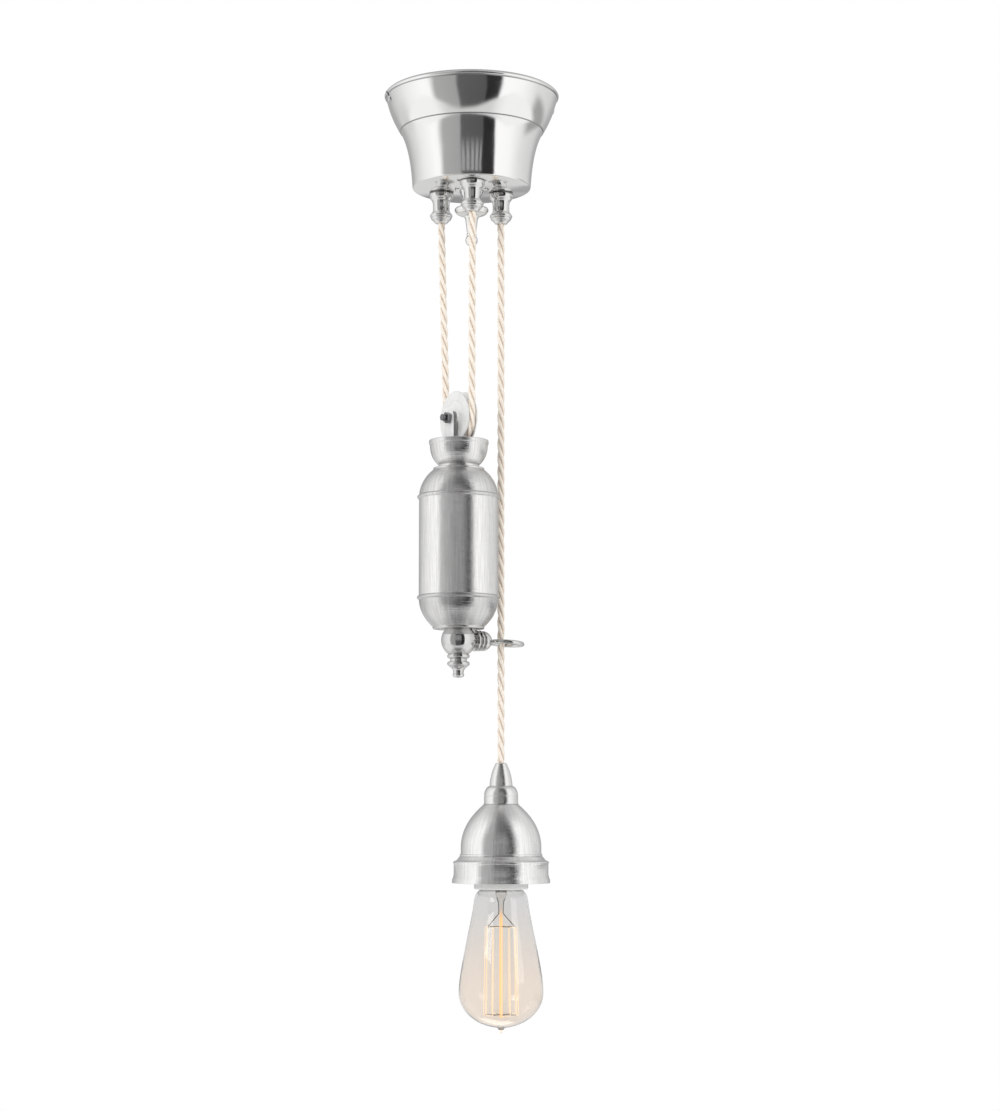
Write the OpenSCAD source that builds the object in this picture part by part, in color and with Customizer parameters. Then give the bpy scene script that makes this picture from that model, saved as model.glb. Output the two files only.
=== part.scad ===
// A rise and fall pendant: a canopy on the ceiling, a counterweight that hangs
// in a loop of the cord, and a bare-bulb lamp on the cord's end. The cord runs
// from the fixed gland down round the weight's wheel, up over a wheel in the
// canopy and down through the weight's guide ring, so the weight moves half as
// far as the lamp. Z is up, the ceiling is Z = 0, and heights are drops below it.

/* [Canopy] */
// Radius of the rolled rim at the ceiling
canopy_rim_r = 68; // [64:0.5:74]
// Radius of the narrow lower wall where it meets the base
canopy_base_r = 46; // [45:0.5:52]
// Height from the ceiling to the flat base
canopy_h = 76.8; // [76:0.2:96]
// Drop of the crease between the upper band and the flare
canopy_crease = 31.2; // [28:0.2:35]
// Radius of the wall at that crease
canopy_crease_r = 56; // [54:0.2:59]
// Thickness of the spun wall
canopy_wall = 1.2; // [0.8:0.1:1.8]
// Thickness of the base that carries the glands
base_t = 1.5; // [1:0.1:2.5]
// Half the width of the rim, which curls in to the ceiling
rim_bead_r = 2.3; // [1.5:0.1:3]

/* [Ceiling strap] */
// Direction of the strap seen from below, from the X axis
strap_turn = 15; // [0:1:30]
// Width of the strap
strap_w = 25; // [18:1:30]
// Thickness of the strap
strap_t = 2; // [1.5:0.1:3]
// Circle on which the two ceiling screw holes lie
ceiling_pcd = 92; // [84:1:96]
// Radius of a ceiling screw hole
ceiling_hole_r = 2.6; // [2:0.1:3.5]
// Drop of the side screws that hold the canopy
side_screw_drop = 9.5; // [8:0.5:11]
// Radius of a side screw's shank
side_screw_r = 1.5; // [1:0.1:2]

/* [Cord and glands] */
// Diameter of the twisted cord
cord_d = 5.5; // [4.5:0.1:6.6]
// Gap all round the cord in a bush, a grip or a groove
cord_gap = 0.3; // [0.2:0.05:0.5]
// Radius of the circle on which the three glands stand
gland_pitch_r = 27; // [26.5:0.5:33]
// Turn of the three cords about the canopy, up to the lamp cord
hang_turn = 32; // [20:1:40]
// Length of a gland below the base
gland_len = 24; // [20:0.5:30]
// Radius of a gland's upper flange
gland_flange_r = 9.6; // [8.5:0.1:11]
// Wall of the bush that lines a gland
bush_wall = 0.7; // [0.5:0.1:1]
// Wall of the gland's threaded stem
stem_wall = 1.2; // [1:0.1:1.6]

/* [Centre rod and finial] */
// Radius of the centre rod
rod_r = 3; // [2.5:0.1:3.5]
// Radius of the finial's broad flange
finial_r = 13.2; // [11:0.1:14]
// Length of the finial below the rosette
finial_len = 44; // [36:0.5:45]

/* [Wheels] */
// Pitch radius of the weight's wheel, to the cord's centre
weight_wheel_r = 19.2; // [18:0.1:21]
// Height of a wheel's flange over the cord's centre line
flange_over = 1.8; // [1:0.1:2.4]
// Width of a wheel over its flanges
wheel_w = 9.2; // [8.4:0.1:10.4]
// Radius of a wheel's axle
axle_r = 2.5; // [2:0.1:3]
// Running gap between an axle and its wheel
running_gap = 0.05; // [0.02:0.01:0.1]
// Drop of the weight's axle below the ceiling, at rest
weight_drop = 258.2; // [250:0.2:310]
// How far the weight leans from between its two cords to the lamp cord
weight_lean = 2.3; // [0:0.1:3]

/* [Counterweight] */
// Radius of the sleeve
sleeve_r = 30.4; // [28:0.1:31]
// Height of the beads that edge the sleeve, from one to the other
sleeve_h = 77.2; // [70:0.2:93]
// Thickness of the spun shells
shell_t = 1; // [0.8:0.1:1.4]
// Radius of the cup's lip
cup_r = 22.85; // [22:0.05:25]
// Height of the cast slug that lies in the bottom cap
slug_h = 14.5; // [4:0.5:60]
// Radius of the ball under the weight
hub_r = 13.2; // [12:0.1:15]
// Reach of the guide ring's centre from the weight's axis
ring_reach = 43; // [42.5:0.5:45]
// Radius of the guide ring's wire
ring_wire_r = 1.75; // [1.2:0.05:2]
// Radius of the guide ring to the middle of its wire
ring_r = 12.2; // [11:0.1:13]
// Droop of the guide ring from the level
ring_droop = 4; // [0:1:6]

/* [Lamp] */
// Drop of the top of the lamp's cord grip below the ceiling, at rest
lamp_drop = 521.3; // [515:0.1:630]
// Radius of the shade's dome
dome_r = 30.7; // [29:0.1:33]
// Radius of the shade's lower edge
skirt_r = 37.4; // [36.5:0.1:40]
// Thickness of the shade
shade_t = 1; // [0.7:0.1:1.4]
// Radius of the lampholder
holder_r = 19.5; // [18.5:0.1:20]
// Radius of the bulb where it is widest
bulb_r = 32; // [30:0.5:36]
// Thickness of the bulb's glass
glass_t = 0.8; // [0.6:0.1:1.2]
// Number of filament strands
strands = 12; // [8:2:16]

/* [Hidden] */

$fn = 64;

cord_r = cord_d / 2;
fit = 0.05;          // gap between a thread or a stem and what it is screwed into
touch = 0.3;         // gap between curved faces that lie against each other
fork_gap = 0.3;      // side play of a wheel's hub between its ears

base_z = -canopy_h;
floor_z = base_z + base_t;
gland_end_z = base_z - gland_len;

cord_way = cord_r + cord_gap;              // hole that the cord runs through
bush_r = cord_way + bush_wall;
stem_r = bush_r + fit + stem_wall;         // gland's threaded stem
stem_up = 6.5;                             // stem's height over the canopy floor
locknut_h = 4;
locknut_r = stem_r + 3.6;

// Places in the plan, before everything turns by hang_turn: the lamp cord lies
// on +X, the two cords of the weight lie either side of -X.
gland_fixed_at = gland_pitch_r * [cos(120), sin(120)];
gland_weight_at = gland_pitch_r * [cos(240), sin(240)];
gland_lamp_at = [gland_pitch_r, 0];
gland_places = [gland_fixed_at, gland_weight_at, gland_lamp_at];
weight_x = weight_lean - gland_pitch_r / 2;

// The canopy's own wheel stands between the weight gland and the lamp gland.
canopy_wheel_r = gland_pitch_r * sin(60);
canopy_wheel_at = (gland_weight_at + gland_lamp_at) / 2;
canopy_wheel_turn = 30;
canopy_wheel_out = canopy_wheel_r + flange_over;
canopy_axle_z = floor_z + canopy_wheel_out + 3.9;
cheek_t = 1.6;
cheek_in = wheel_w / 2 + 0.65;
cheek_w = 20;
web_t = 1.6;

weight_wheel_out = weight_wheel_r + flange_over;
weight_axle_z = -weight_drop;
hub_half = 5.3;                            // half of the weight wheel's hub
ear_in = hub_half + fork_gap;
ear_t = 3;
ear_r = 6.5;

lamp_top_z = -lamp_drop;

nickel = [0.80, 0.80, 0.79];
satin = [0.72, 0.72, 0.71];
steel = [0.55, 0.56, 0.58];
iron = [0.30, 0.30, 0.31];
brass = [0.78, 0.62, 0.32];
cream = [0.93, 0.87, 0.78];
white_plastic = [0.93, 0.93, 0.90];
porcelain = [0.95, 0.94, 0.91];
glass_tint = [0.90, 0.86, 0.80, 0.35];

function arc(c, r, a0, a1, n) =
    [for (i = [0:n]) let (a = a0 + (a1 - a0) * i / n) c + r * [cos(a), sin(a)]];

function curve(p0, p1, p2, p3, n = 10) =
    [for (i = [0:n]) let (t = i / n, s = 1 - t)
        s * s * s * p0 + 3 * s * s * t * p1 + 3 * s * t * t * p2 + t * t * t * p3];

function side(pts, i) =
    let (d = pts[min(i + 1, len(pts) - 1)] - pts[max(i - 1, 0)])
    [-d[1], d[0]] / norm(d);

// The inner face of a wall t thick, from the foot of its outer path to the top
function wall_inside(pts, t) =
    [for (i = [len(pts) - 1:-1:0]) pts[i] + t * side(pts, i)];

// Radius and drop below a level, as radius and height
function hung(level, pts) = [for (p = pts) [p[0], level - p[1]]];

module turned(pts) {
    rotate_extrude($fn = 96) polygon(pts);
}

module hang() {
    rotate([0, 0, hang_turn]) children();
}

// Stands its children, made along Z, along X instead
module along_x(at) {
    translate(at) rotate([0, 90, 0]) children();
}

module hex_nut(r, h, bore) {
    difference() {
        cylinder(h = h, r = r, $fn = 6);
        translate([0, 0, -1]) cylinder(h = h + 2, r = bore);
    }
}

module bar(a, b, r) {
    d = b - a;
    translate(a)
        rotate([0, acos(d[2] / norm(d)), atan2(d[1], d[0])])
            cylinder(h = norm(d), r = r, $fn = 16);
}

// A round tube along a route, a ring at each of its points
function unit(v) = v / norm(v);
function way(p, i) = unit(p[min(i + 1, len(p) - 1)] - p[max(i - 1, 0)]);
function carried(u, t) = unit(u - (u * t) * t);
function frames(p, i = 0, u = undef) =
    i == len(p) ? [] :
    let (t = way(p, i),
         start = abs(t[2]) < 0.9 ? [0, 0, 1] : [1, 0, 0],
         v = carried(u == undef ? start : u, t))
    concat([[t, v]], frames(p, i + 1, v));
function ring_points(c, f, r, n) =
    [for (k = [0:n - 1]) let (a = 360 * k / n)
        c + r * (cos(a) * f[1] + sin(a) * cross(f[0], f[1]))];

// Level rings keep the ends of a leaning leg flat, face to face with the next piece.
module tube(route, r, n = 10, level = false) {
    swept = frames(route);
    f = level ? [for (i = route) [[0, 0, 1], [1, 0, 0]]] : swept;
    m = len(route);
    points = [for (i = [0:m - 1]) each ring_points(route[i], f[i], r, n)];
    walls = [for (i = [0:m - 2], k = [0:n - 1])
        let (a = i * n + k, b = i * n + (k + 1) % n)
        each [[a, a + n, b + n], [a, b + n, b]]];
    first = [for (k = [1:n - 2]) [0, k, k + 1]];
    end = (m - 1) * n;
    last = [for (k = [1:n - 2]) [end, end + k + 1, end + k]];
    polyhedron(points, concat(walls, first, last));
}

function straight(a, b, n) = [for (i = [0:n]) a + (b - a) * i / n];

// Half a turn in an upright plane: u is the plane's direction in the plan. The points
// stand out a little, so that the straight steps between them stay on the circle.
function half_turn(c, u, r, a0, a1, n) =
    [for (i = [0:n])
        let (a = a0 + (a1 - a0) * i / n, out = (i == 0 || i == n) ? r : r / cos(90 / n))
        c + out * [cos(a) * u[0], cos(a) * u[1], sin(a)]];

function at_height(p, z) = [p[0], p[1], z];

// ---------------------------------------------------------------- canopy

crease_step = 0.6;
upper_wall = curve([canopy_rim_r - 1.4, 2 * rim_bead_r + 0.6],
    [canopy_rim_r - 3.4, 12.4], [canopy_crease_r + 7.2, canopy_crease - 12.2],
    [canopy_crease_r, canopy_crease], 10);
flare = curve([canopy_crease_r - crease_step, canopy_crease + 0.3],
    [canopy_crease_r - 4.2, canopy_crease + 6.8], [canopy_base_r + 1.4, canopy_h - 26.8],
    [canopy_base_r, canopy_h - 1.6], 10);
canopy_side = concat(upper_wall, flare);
canopy_inside = [for (i = [len(canopy_side) - 1:-1:0])
    [canopy_side[i][0] - canopy_wall, canopy_side[i][1]]];
rim_bead = concat(curve([canopy_rim_r - 2 * rim_bead_r, 0.1], [canopy_rim_r - 3, 0.4],
    [canopy_rim_r - 0.4, 0.8 * rim_bead_r], [canopy_rim_r, 1.45 * rim_bead_r], 6),
    [[canopy_rim_r - 0.2, 1.75 * rim_bead_r], [canopy_rim_r - 0.8, 2 * rim_bead_r]]);
canopy_profile = concat(rim_bead, canopy_side,
    [[canopy_base_r - 0.5, canopy_h - 0.5], [canopy_base_r - 1.7, canopy_h], [0, canopy_h],
     [0, canopy_h - base_t], [canopy_base_r - canopy_wall - 1, canopy_h - base_t]],
    [for (p = canopy_inside) if (p[1] < canopy_h - base_t - 0.4 && p[1] > 2 * rim_bead_r + 0.7) p]);

function screw_seat_r() = canopy_rim_r - 3.1;

module side_screw_place() {
    for (end = [0, 180])
        rotate([0, 0, strap_turn + end])
            along_x([0, 0, -side_screw_drop]) children();
}

module canopy() {
    color(nickel) hang() difference() {
        turned(hung(0, canopy_profile));
        translate([0, 0, base_z - 1]) cylinder(h = base_t + 2, r = rod_r + fit);
        for (p = gland_places)
            translate([p[0], p[1], base_z - 1]) cylinder(h = base_t + 2, r = stem_r + fit);
        rotate([0, 0, -hang_turn]) {
            side_screw_place()
                translate([0, 0, canopy_rim_r - 12]) cylinder(h = 16, r = side_screw_r + 0.2);
            for (end = [0, 180])
                rotate([0, 0, strap_turn + end])
                    translate([canopy_rim_r - 12, -side_screw_r - 0.2, -side_screw_drop])
                        cube([16, 2 * side_screw_r + 0.4, side_screw_drop + 1]);
        }
    }
}

ear_out = screw_seat_r() - canopy_wall - 2.2;   // outer face of the strap's down-turned ears
ear_drop = 14;
ear_w = 16;

module ceiling_strap() {
    color(steel) rotate([0, 0, strap_turn]) difference() {
        union() {
            translate([-ear_out, -strap_w / 2, -strap_t])
                cube([2 * ear_out, strap_w, strap_t]);
            for (end = [0, 180])
                rotate([0, 0, end])
                    translate([ear_out - strap_t, -ear_w / 2, -ear_drop])
                        cube([strap_t, ear_w, ear_drop - strap_t / 2]);
        }
        translate([0, 0, -strap_t - 1]) cylinder(h = strap_t + 2, r = rod_r + fit);
        for (end = [-1, 1])
            translate([end * ceiling_pcd / 2, 0, -strap_t - 1])
                cylinder(h = strap_t + 2, r = ceiling_hole_r);
        translate([earth_at, 0, -strap_t - 1]) cylinder(h = strap_t + 2, r = earth_r + fit);
        along_x([-ear_out - 1, 0, -side_screw_drop])
            cylinder(h = 2 * ear_out + 2, r = side_screw_r + fit);
    }
}

screw_head_r = 2.4;
screw_head_t = 1;
module canopy_screws() {
    color(nickel) side_screw_place() {
        translate([0, 0, ear_out - strap_t - 1.5])
            cylinder(h = screw_seat_r() + 0.9 - ear_out + strap_t + 1.5, r = side_screw_r);
        translate([0, 0, screw_seat_r() + 0.9]) difference() {
            cylinder(h = screw_head_t, r = screw_head_r);
            translate([-screw_head_r, -0.3, screw_head_t - 0.5])
                cube([2 * screw_head_r, 0.6, 1]);
        }
    }
}

// ------------------------------------------------- centre rod and finial

nut_h = 4;
nut_r = 5.6;
rosette_t = 1.5;
finial_top_z = base_z - rosette_t;
finial_tap = 14;

module centre_rod() {
    color(steel) hang()
        translate([0, 0, finial_top_z - finial_tap + 1])
            cylinder(h = -0.6 - finial_top_z + finial_tap - 1, r = rod_r);
}

module rod_nuts() {
    color(steel) hang() {
        translate([0, 0, -strap_t - nut_h]) hex_nut(nut_r, nut_h, rod_r + fit);
        translate([0, 0, floor_z + web_t]) hex_nut(nut_r, nut_h, rod_r + fit);
    }
}

module rosette() {
    color(nickel) hang() difference() {
        turned(hung(base_z, [[0, 0], [finial_r, 0], [finial_r, 0.6], [finial_r - 0.9, 1.2],
            [finial_r - 3.2, rosette_t], [0, rosette_t]]));
        translate([0, 0, base_z - rosette_t - 1])
            cylinder(h = rosette_t + 2, r = rod_r + fit);
    }
}

module canopy_finial() {
    k = finial_len / 44;
    flange = arc([finial_r - 2, 15.2 * k], 2, -80, 60, 8);
    ball = arc([0, 38.8 * k], 4.8, -38, 66, 10);
    color(nickel) hang() difference() {
        turned(hung(finial_top_z, concat(
            [[0, 0], [9.4, 0], [9.6, 0.7], [8.9, 1.6]],
            curve([8.9, 1.6], [8.6, 4.5], [7.4, 4], [7.2, 7.5 * k], 6),
            [[7.3, 9 * k], [8.4, 10.2 * k], [8.8, 12.2 * k]],
            flange, curve([finial_r - 1.4, 17.6 * k], [9.5, 19.5 * k], [5.6, 19 * k],
                [4.9, 22.4 * k], 6),
            [[3.5, 33.6 * k], [4.0, 34.6 * k], [3.5, 35.4 * k]], ball,
            [[1.2, 43.6 * k], [0, finial_len]])));
        translate([0, 0, finial_top_z - finial_tap])
            cylinder(h = finial_tap + 1, r = rod_r + fit);
    }
}

// ---------------------------------------------------------------- glands

module gland(at) {
    g = gland_len / 24;
    foot = cord_way + bush_wall + fit + 0.9;
    color(nickel) hang() translate([at[0], at[1], 0]) difference() {
        union() {
            turned(hung(base_z, concat(
                [[0, 0], [gland_flange_r - 0.5, 0], [gland_flange_r, 0.6],
                 [gland_flange_r, 2.2 * g]],
                curve([gland_flange_r - 0.5, 3.4 * g], [gland_flange_r - 1.6, 6 * g],
                    [6.9, 5 * g], [6.5, 9.6 * g], 6),
                [[6.5, 13.6 * g], [6.9, 15.2 * g], [7.7, 16 * g]],
                arc([7.2, 18 * g], 1.6, -60, 60, 6),
                curve([8.2, 19.8 * g], [7.8, 21.4 * g], [foot + 1, 22 * g], [foot, 24 * g], 5),
                [[0, gland_len]])));
            translate([0, 0, base_z]) cylinder(h = base_t + stem_up, r = stem_r);
        }
        translate([0, 0, gland_end_z - 1])
            cylinder(h = gland_len + base_t + stem_up + 2, r = bush_r + fit);
    }
}

module gland_fixed() { gland(gland_fixed_at); }
module gland_weight() { gland(gland_weight_at); }
module gland_lamp() { gland(gland_lamp_at); }

module gland_locknuts() {
    color(steel) hang() for (p = gland_places)
        translate([p[0], p[1], floor_z]) rotate([0, 0, 15])
            hex_nut(locknut_r, locknut_h, stem_r + fit);
}

module gland_bushes() {
    color(white_plastic) hang() for (p = gland_places)
        translate([p[0], p[1], gland_end_z]) difference() {
            cylinder(h = floor_z + stem_up - gland_end_z, r = bush_r);
            translate([0, 0, -1])
                cylinder(h = floor_z + stem_up - gland_end_z + 2, r = cord_way);
        }
}

// ------------------------------------------------------ wheels and yokes

// A grooved wheel on its axle along Z
module wheel(pitch, hub, half, bore) {
    r = cord_way;
    rim = pitch + flange_over;
    lip = r + 0.2;
    difference() {
        turned(concat(
            [[0, -half], [hub, -half], [hub, -wheel_w / 2], [rim - 0.6, -wheel_w / 2],
             [rim, -wheel_w / 2 + 0.6], [rim, -lip]],
            arc([pitch, 0], r, 270, 90, 10),
            [[rim, lip], [rim, wheel_w / 2 - 0.6], [rim - 0.6, wheel_w / 2],
             [hub, wheel_w / 2], [hub, half], [0, half]]));
        translate([0, 0, -half - 1]) cylinder(h = 2 * half + 2, r = bore);
    }
}

// Puts children made along Z on the canopy wheel's axis
module canopy_wheel_place() {
    hang() translate([canopy_wheel_at[0], canopy_wheel_at[1], canopy_axle_z])
        rotate([0, 0, canopy_wheel_turn]) rotate([-90, 0, 0]) children();
}

module wheel_yoke() {
    web_far = 20;
    top = canopy_axle_z - floor_z + 6;
    color(steel) hang()
        translate([canopy_wheel_at[0], canopy_wheel_at[1], floor_z])
            rotate([0, 0, canopy_wheel_turn]) difference() {
                union() {
                    translate([-cheek_w / 2, -cheek_in - cheek_t, 0])
                        cube([cheek_w, cheek_in + cheek_t + web_far, web_t]);
                    for (y = [-cheek_in - cheek_t, cheek_in])
                        translate([-cheek_w / 2, y, 0]) cube([cheek_w, cheek_t, top]);
                }
                translate([0, rod_from_wheel, -1]) cylinder(h = web_t + 2, r = rod_r + fit);
                translate([0, -cheek_in - cheek_t - 1, canopy_axle_z - floor_z])
                    rotate([-90, 0, 0])
                        cylinder(h = 2 * (cheek_in + cheek_t) + 2, r = axle_r + fit);
            }
}
rod_from_wheel = norm(canopy_wheel_at);

module canopy_wheel() {
    color(satin) canopy_wheel_place()
        wheel(canopy_wheel_r, 7, cheek_in - fork_gap, axle_r + running_gap);
}

axle_head_t = 2.2;
axle_nut_h = 3.5;
axle_nut_r = 4.2;
axle_end = cheek_in + cheek_t;

// The head lies on the side of the centre rod, the nut on the other.
module canopy_axle() {
    color(steel) canopy_wheel_place() {
        translate([0, 0, -axle_end - axle_nut_h - 1])
            cylinder(h = 2 * axle_end + axle_nut_h + 1, r = axle_r);
        translate([0, 0, axle_end]) cylinder(h = axle_head_t, r1 = 4.2, r2 = 3);
    }
}

module canopy_axle_nut() {
    color(steel) canopy_wheel_place()
        translate([0, 0, -axle_end - axle_nut_h])
            hex_nut(axle_nut_r, axle_nut_h, axle_r + fit);
}

// ------------------------------------------- what the fixed cord ends in

anchor_h = 9;
anchor_r = 7.5;
anchor_z = floor_z + stem_up + 0.1;
block_l = 23;
block_w = 17;
block_h = 12;
block_from = 9;
earth_at = 22;
earth_r = 1.9;

module cord_anchor() {
    color(brass) hang() translate([gland_fixed_at[0], gland_fixed_at[1], anchor_z])
        difference() {
            cylinder(h = anchor_h, r = anchor_r);
            translate([0, 0, -1]) cylinder(h = anchor_h + 2, r = cord_r + fit);
            rotate([0, 0, 120]) along_x([0, 0, anchor_h / 2])
                cylinder(h = anchor_r + 1, r = 1.6);
        }
}

module anchor_screw() {
    color(steel) hang() translate([gland_fixed_at[0], gland_fixed_at[1], anchor_z])
        rotate([0, 0, 120]) along_x([0, 0, anchor_h / 2])
            translate([0, 0, cord_r + touch])
                cylinder(h = anchor_r - cord_r, r = 1.6 - fit);
}

// Three ways side by side under the strap, each with a screw at both ends
module terminal_block() {
    color(white_plastic) rotate([0, 0, strap_turn + 180])
        translate([block_from, -block_w / 2, -strap_t - block_h]) difference() {
            cube([block_l, block_w, block_h]);
            for (way = [0:2], end = [0, 1]) {
                translate([4 + way * 7.5, 4 + end * 9, -1])
                    cylinder(h = block_h - 2, r = 1.9);
                translate([4 + way * 7.5, end * block_w, 6])
                    rotate([90, 0, 0])
                        translate([0, 0, -3]) cylinder(h = 6, r = core_r + 0.3);
            }
        }
}

module terminal_screws() {
    color(brass) rotate([0, 0, strap_turn + 180])
        translate([block_from, -block_w / 2, -strap_t - block_h])
            for (way = [0:2], end = [0, 1])
                translate([4 + way * 7.5, 4 + end * 9, 1]) difference() {
                    cylinder(h = 4, r = 1.7);
                    translate([-2, -0.3, -1]) cube([4, 0.6, 1.6]);
                }
}

module earth_screw() {
    color(brass) rotate([0, 0, strap_turn]) translate([earth_at, 0, 0]) {
        translate([0, 0, -strap_t - 4]) cylinder(h = strap_t + 3.5, r = earth_r);
        translate([0, 0, -strap_t - 4 - 1.6]) cylinder(h = 1.6, r = 3.4);
    }
}

// ------------------------------------------------------------- the cord

// Route of the cord's tail inside the canopy, from its anchor to where the
// three cores part, in the plan that turns by hang_turn
tail_points = [[0, 0, -60], [0, 0, -52], [-2, -1, -44], [-5, -4, -36], [-8, -7, -29]];
core_r = 1.1;

anchored = [gland_fixed_at[0], gland_fixed_at[1], 0];
tail_route = concat(
    straight(anchored + [0, 0, gland_end_z], anchored + [0, 0, anchor_z + anchor_h], 3),
    [for (p = tail_points) if (p[2] > anchor_z + anchor_h + 2) anchored + p]);

module cord_tail() {
    color(cream) hang() tube(tail_route, cord_r);
}

// Three cores from the cord's end into the block's side
module core_wires() {
    tail_end = tail_route[len(tail_route) - 1];
    along = way(tail_route, len(tail_route) - 1);
    across = unit(cross(along, [0, 0, 1]));
    turn = strap_turn + 180 - hang_turn;
    side_y = -block_w / 2;
    color("saddlebrown") hang() for (way = [0:2]) {
        x = block_from + 4 + way * 7.5;
        out = [x * cos(turn) - (side_y - 4) * sin(turn),
               x * sin(turn) + (side_y - 4) * cos(turn), -strap_t - block_h + 6];
        into = [x * cos(turn) - (side_y + 2) * sin(turn),
                x * sin(turn) + (side_y + 2) * cos(turn), -strap_t - block_h + 6];
        start = tail_end + 0.3 * along + 1.6 * (way - 1) * across;
        bend = start + 3 * along;
        tube([start, bend, (bend + out) / 2 + [0, 0, 2], out, into], core_r, 8);
    }
}

wheel_dir = [cos(canopy_wheel_turn), sin(canopy_wheel_turn)];
over_centre = [canopy_wheel_at[0], canopy_wheel_at[1], canopy_axle_z];
over_route = concat(
    straight(at_height(gland_weight_at, gland_end_z),
        at_height(gland_weight_at, canopy_axle_z - 5), 2),
    half_turn(over_centre, wheel_dir, canopy_wheel_r, 180, 0, 12),
    straight(at_height(gland_lamp_at, canopy_axle_z - 5),
        at_height(gland_lamp_at, gland_end_z), 2));

module cord_over_canopy_wheel() {
    color(cream) hang() tube(over_route, cord_r);
}

under_centre = [weight_x, 0, weight_axle_z];
over_axle = 13;              // straight cord above the axle, at both ends of the loop
fixed_side = [weight_x, weight_wheel_r, weight_axle_z + over_axle];
rising_side = [weight_x, -weight_wheel_r, weight_axle_z + over_axle];

module cord_fixed_leg() {
    color(cream) hang()
        tube(straight(fixed_side, at_height(gland_fixed_at, gland_end_z), 9), cord_r,
            level = true);
}

module cord_rising_leg() {
    color(cream) hang()
        tube(straight(rising_side, at_height(gland_weight_at, gland_end_z), 9), cord_r,
            level = true);
}

module cord_under_weight_wheel() {
    color(cream) hang()
        tube(concat([fixed_side], half_turn(under_centre, [0, 1], weight_wheel_r, 0, -180, 11),
            [rising_side]), cord_r);
}

module cord_lamp_leg() {
    color(cream) hang()
        tube(straight(at_height(gland_lamp_at, gland_end_z),
            at_height(gland_lamp_at, lamp_top_z), 25), cord_r);
}

cord_in_lamp = 46;
module cord_lamp_end() {
    color(cream) hang()
        tube(straight(at_height(gland_lamp_at, lamp_top_z),
            at_height(gland_lamp_at, lamp_top_z - cord_in_lamp), 3), cord_r);
}

// -------------------------------------------------------- counterweight

// Drops below the weight's axle
cup_lip = 16.8;
cup_foot = 36.2;
neck_foot = 38.2;
bead_1 = 60.6;
bead_2 = bead_1 + sleeve_h;
weight_foot = bead_2 + 24;
ball_mid = weight_foot + 8.4;
bead_over = 1.1;
cup_floor = cup_foot - 1.4;
fork_base_t = 3;
neck_r = 15.1;

module on_weight() {
    hang() translate([weight_x, 0, weight_axle_z]) children();
}

module fork_ear(x) {
    translate([x, 0, 0]) {
        along_x([0, 0, 0]) cylinder(h = ear_t, r = ear_r);
        translate([0, -ear_r, -cup_floor]) cube([ear_t, 2 * ear_r, cup_floor]);
    }
}

module weight_fork() {
    color(satin) on_weight() difference() {
        union() {
            fork_ear(ear_in);
            fork_ear(-ear_in - ear_t);
            translate([-ear_in - ear_t, -ear_r, -cup_floor])
                cube([2 * (ear_in + ear_t), 2 * ear_r, fork_base_t]);
        }
        along_x([-ear_in - ear_t - 1, 0, 0])
            cylinder(h = 2 * (ear_in + ear_t) + 2, r = axle_r + fit);
        translate([0, 0, -cup_floor - 1]) cylinder(h = fork_base_t + 2, r = rod_r + fit);
    }
}

module weight_wheel() {
    color(satin) on_weight() along_x([0, 0, 0])
        wheel(weight_wheel_r, 6, hub_half, axle_r + running_gap);
}

axle_stub = 3;
weight_axle_half = ear_in + ear_t + nut_h + axle_stub;
module weight_axle() {
    color(steel) on_weight()
        along_x([-weight_axle_half, 0, 0]) cylinder(h = 2 * weight_axle_half, r = axle_r);
}

module weight_axle_nuts() {
    color(steel) on_weight() for (x = [-ear_in - ear_t - nut_h, ear_in + ear_t])
        along_x([x, 0, 0]) hex_nut(axle_nut_r, nut_h, axle_r + fit);
}

cup_bowl = curve([cup_r - 0.65, cup_lip + 3.6], [cup_r - 0.65, 26.4], [20.5, 31.5],
    [neck_r + 0.3, cup_foot], 10);
module weight_cup() {
    inner = [for (p = wall_inside(cup_bowl, shell_t)) if (p[1] < cup_floor - 0.3) p];
    color(satin) on_weight() difference() {
        turned(hung(0, concat(
            [[cup_r - 0.4, cup_lip], [cup_r, cup_lip + 0.4], [cup_r, cup_lip + 2.8],
             [cup_r - 0.4, cup_lip + 3.2]],
            cup_bowl, [[neck_r, neck_foot], [0, neck_foot], [0, cup_floor],
             [neck_r - 0.4, cup_floor]], inner,
            [[cup_r - 0.65 - shell_t, cup_lip + 3.3], [cup_r - 0.65 - shell_t, cup_lip]])));
        translate([0, 0, -neck_foot - 1])
            cylinder(h = neck_foot - cup_floor + 2, r = rod_r + fit);
    }
}

// A bead whose middle is d below the axle
function bead(d) = [[sleeve_r + 0.2, d - 1.6], [sleeve_r + bead_over, d - 0.8],
    [sleeve_r + bead_over, d + 0.8], [sleeve_r + 0.2, d + 1.6]];

cap_dome = curve([19.9, neck_foot + 1.8], [24.8, 43.6], [sleeve_r - 0.6, 51],
    [sleeve_r - 0.1, bead_1 - 1.8], 10);
module top_cap() {
    color(satin) on_weight() difference() {
        turned(hung(0, concat(
            [[0, neck_foot], [19.3, neck_foot], [19.6, neck_foot + 0.4],
             [19.6, neck_foot + 1.4]],
            cap_dome, bead(bead_1),
            [[sleeve_r + touch, bead_1 + 1.6], [sleeve_r + touch, bead_1 - 0.5]],
            [for (p = wall_inside(cap_dome, shell_t)) if (p[1] > neck_foot + shell_t + 0.5) p],
            [[18, neck_foot + shell_t + 0.4], [0, neck_foot + shell_t + 0.4]])));
        translate([0, 0, -neck_foot - shell_t - 2])
            cylinder(h = shell_t + 4, r = rod_r + fit);
    }
}

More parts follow.
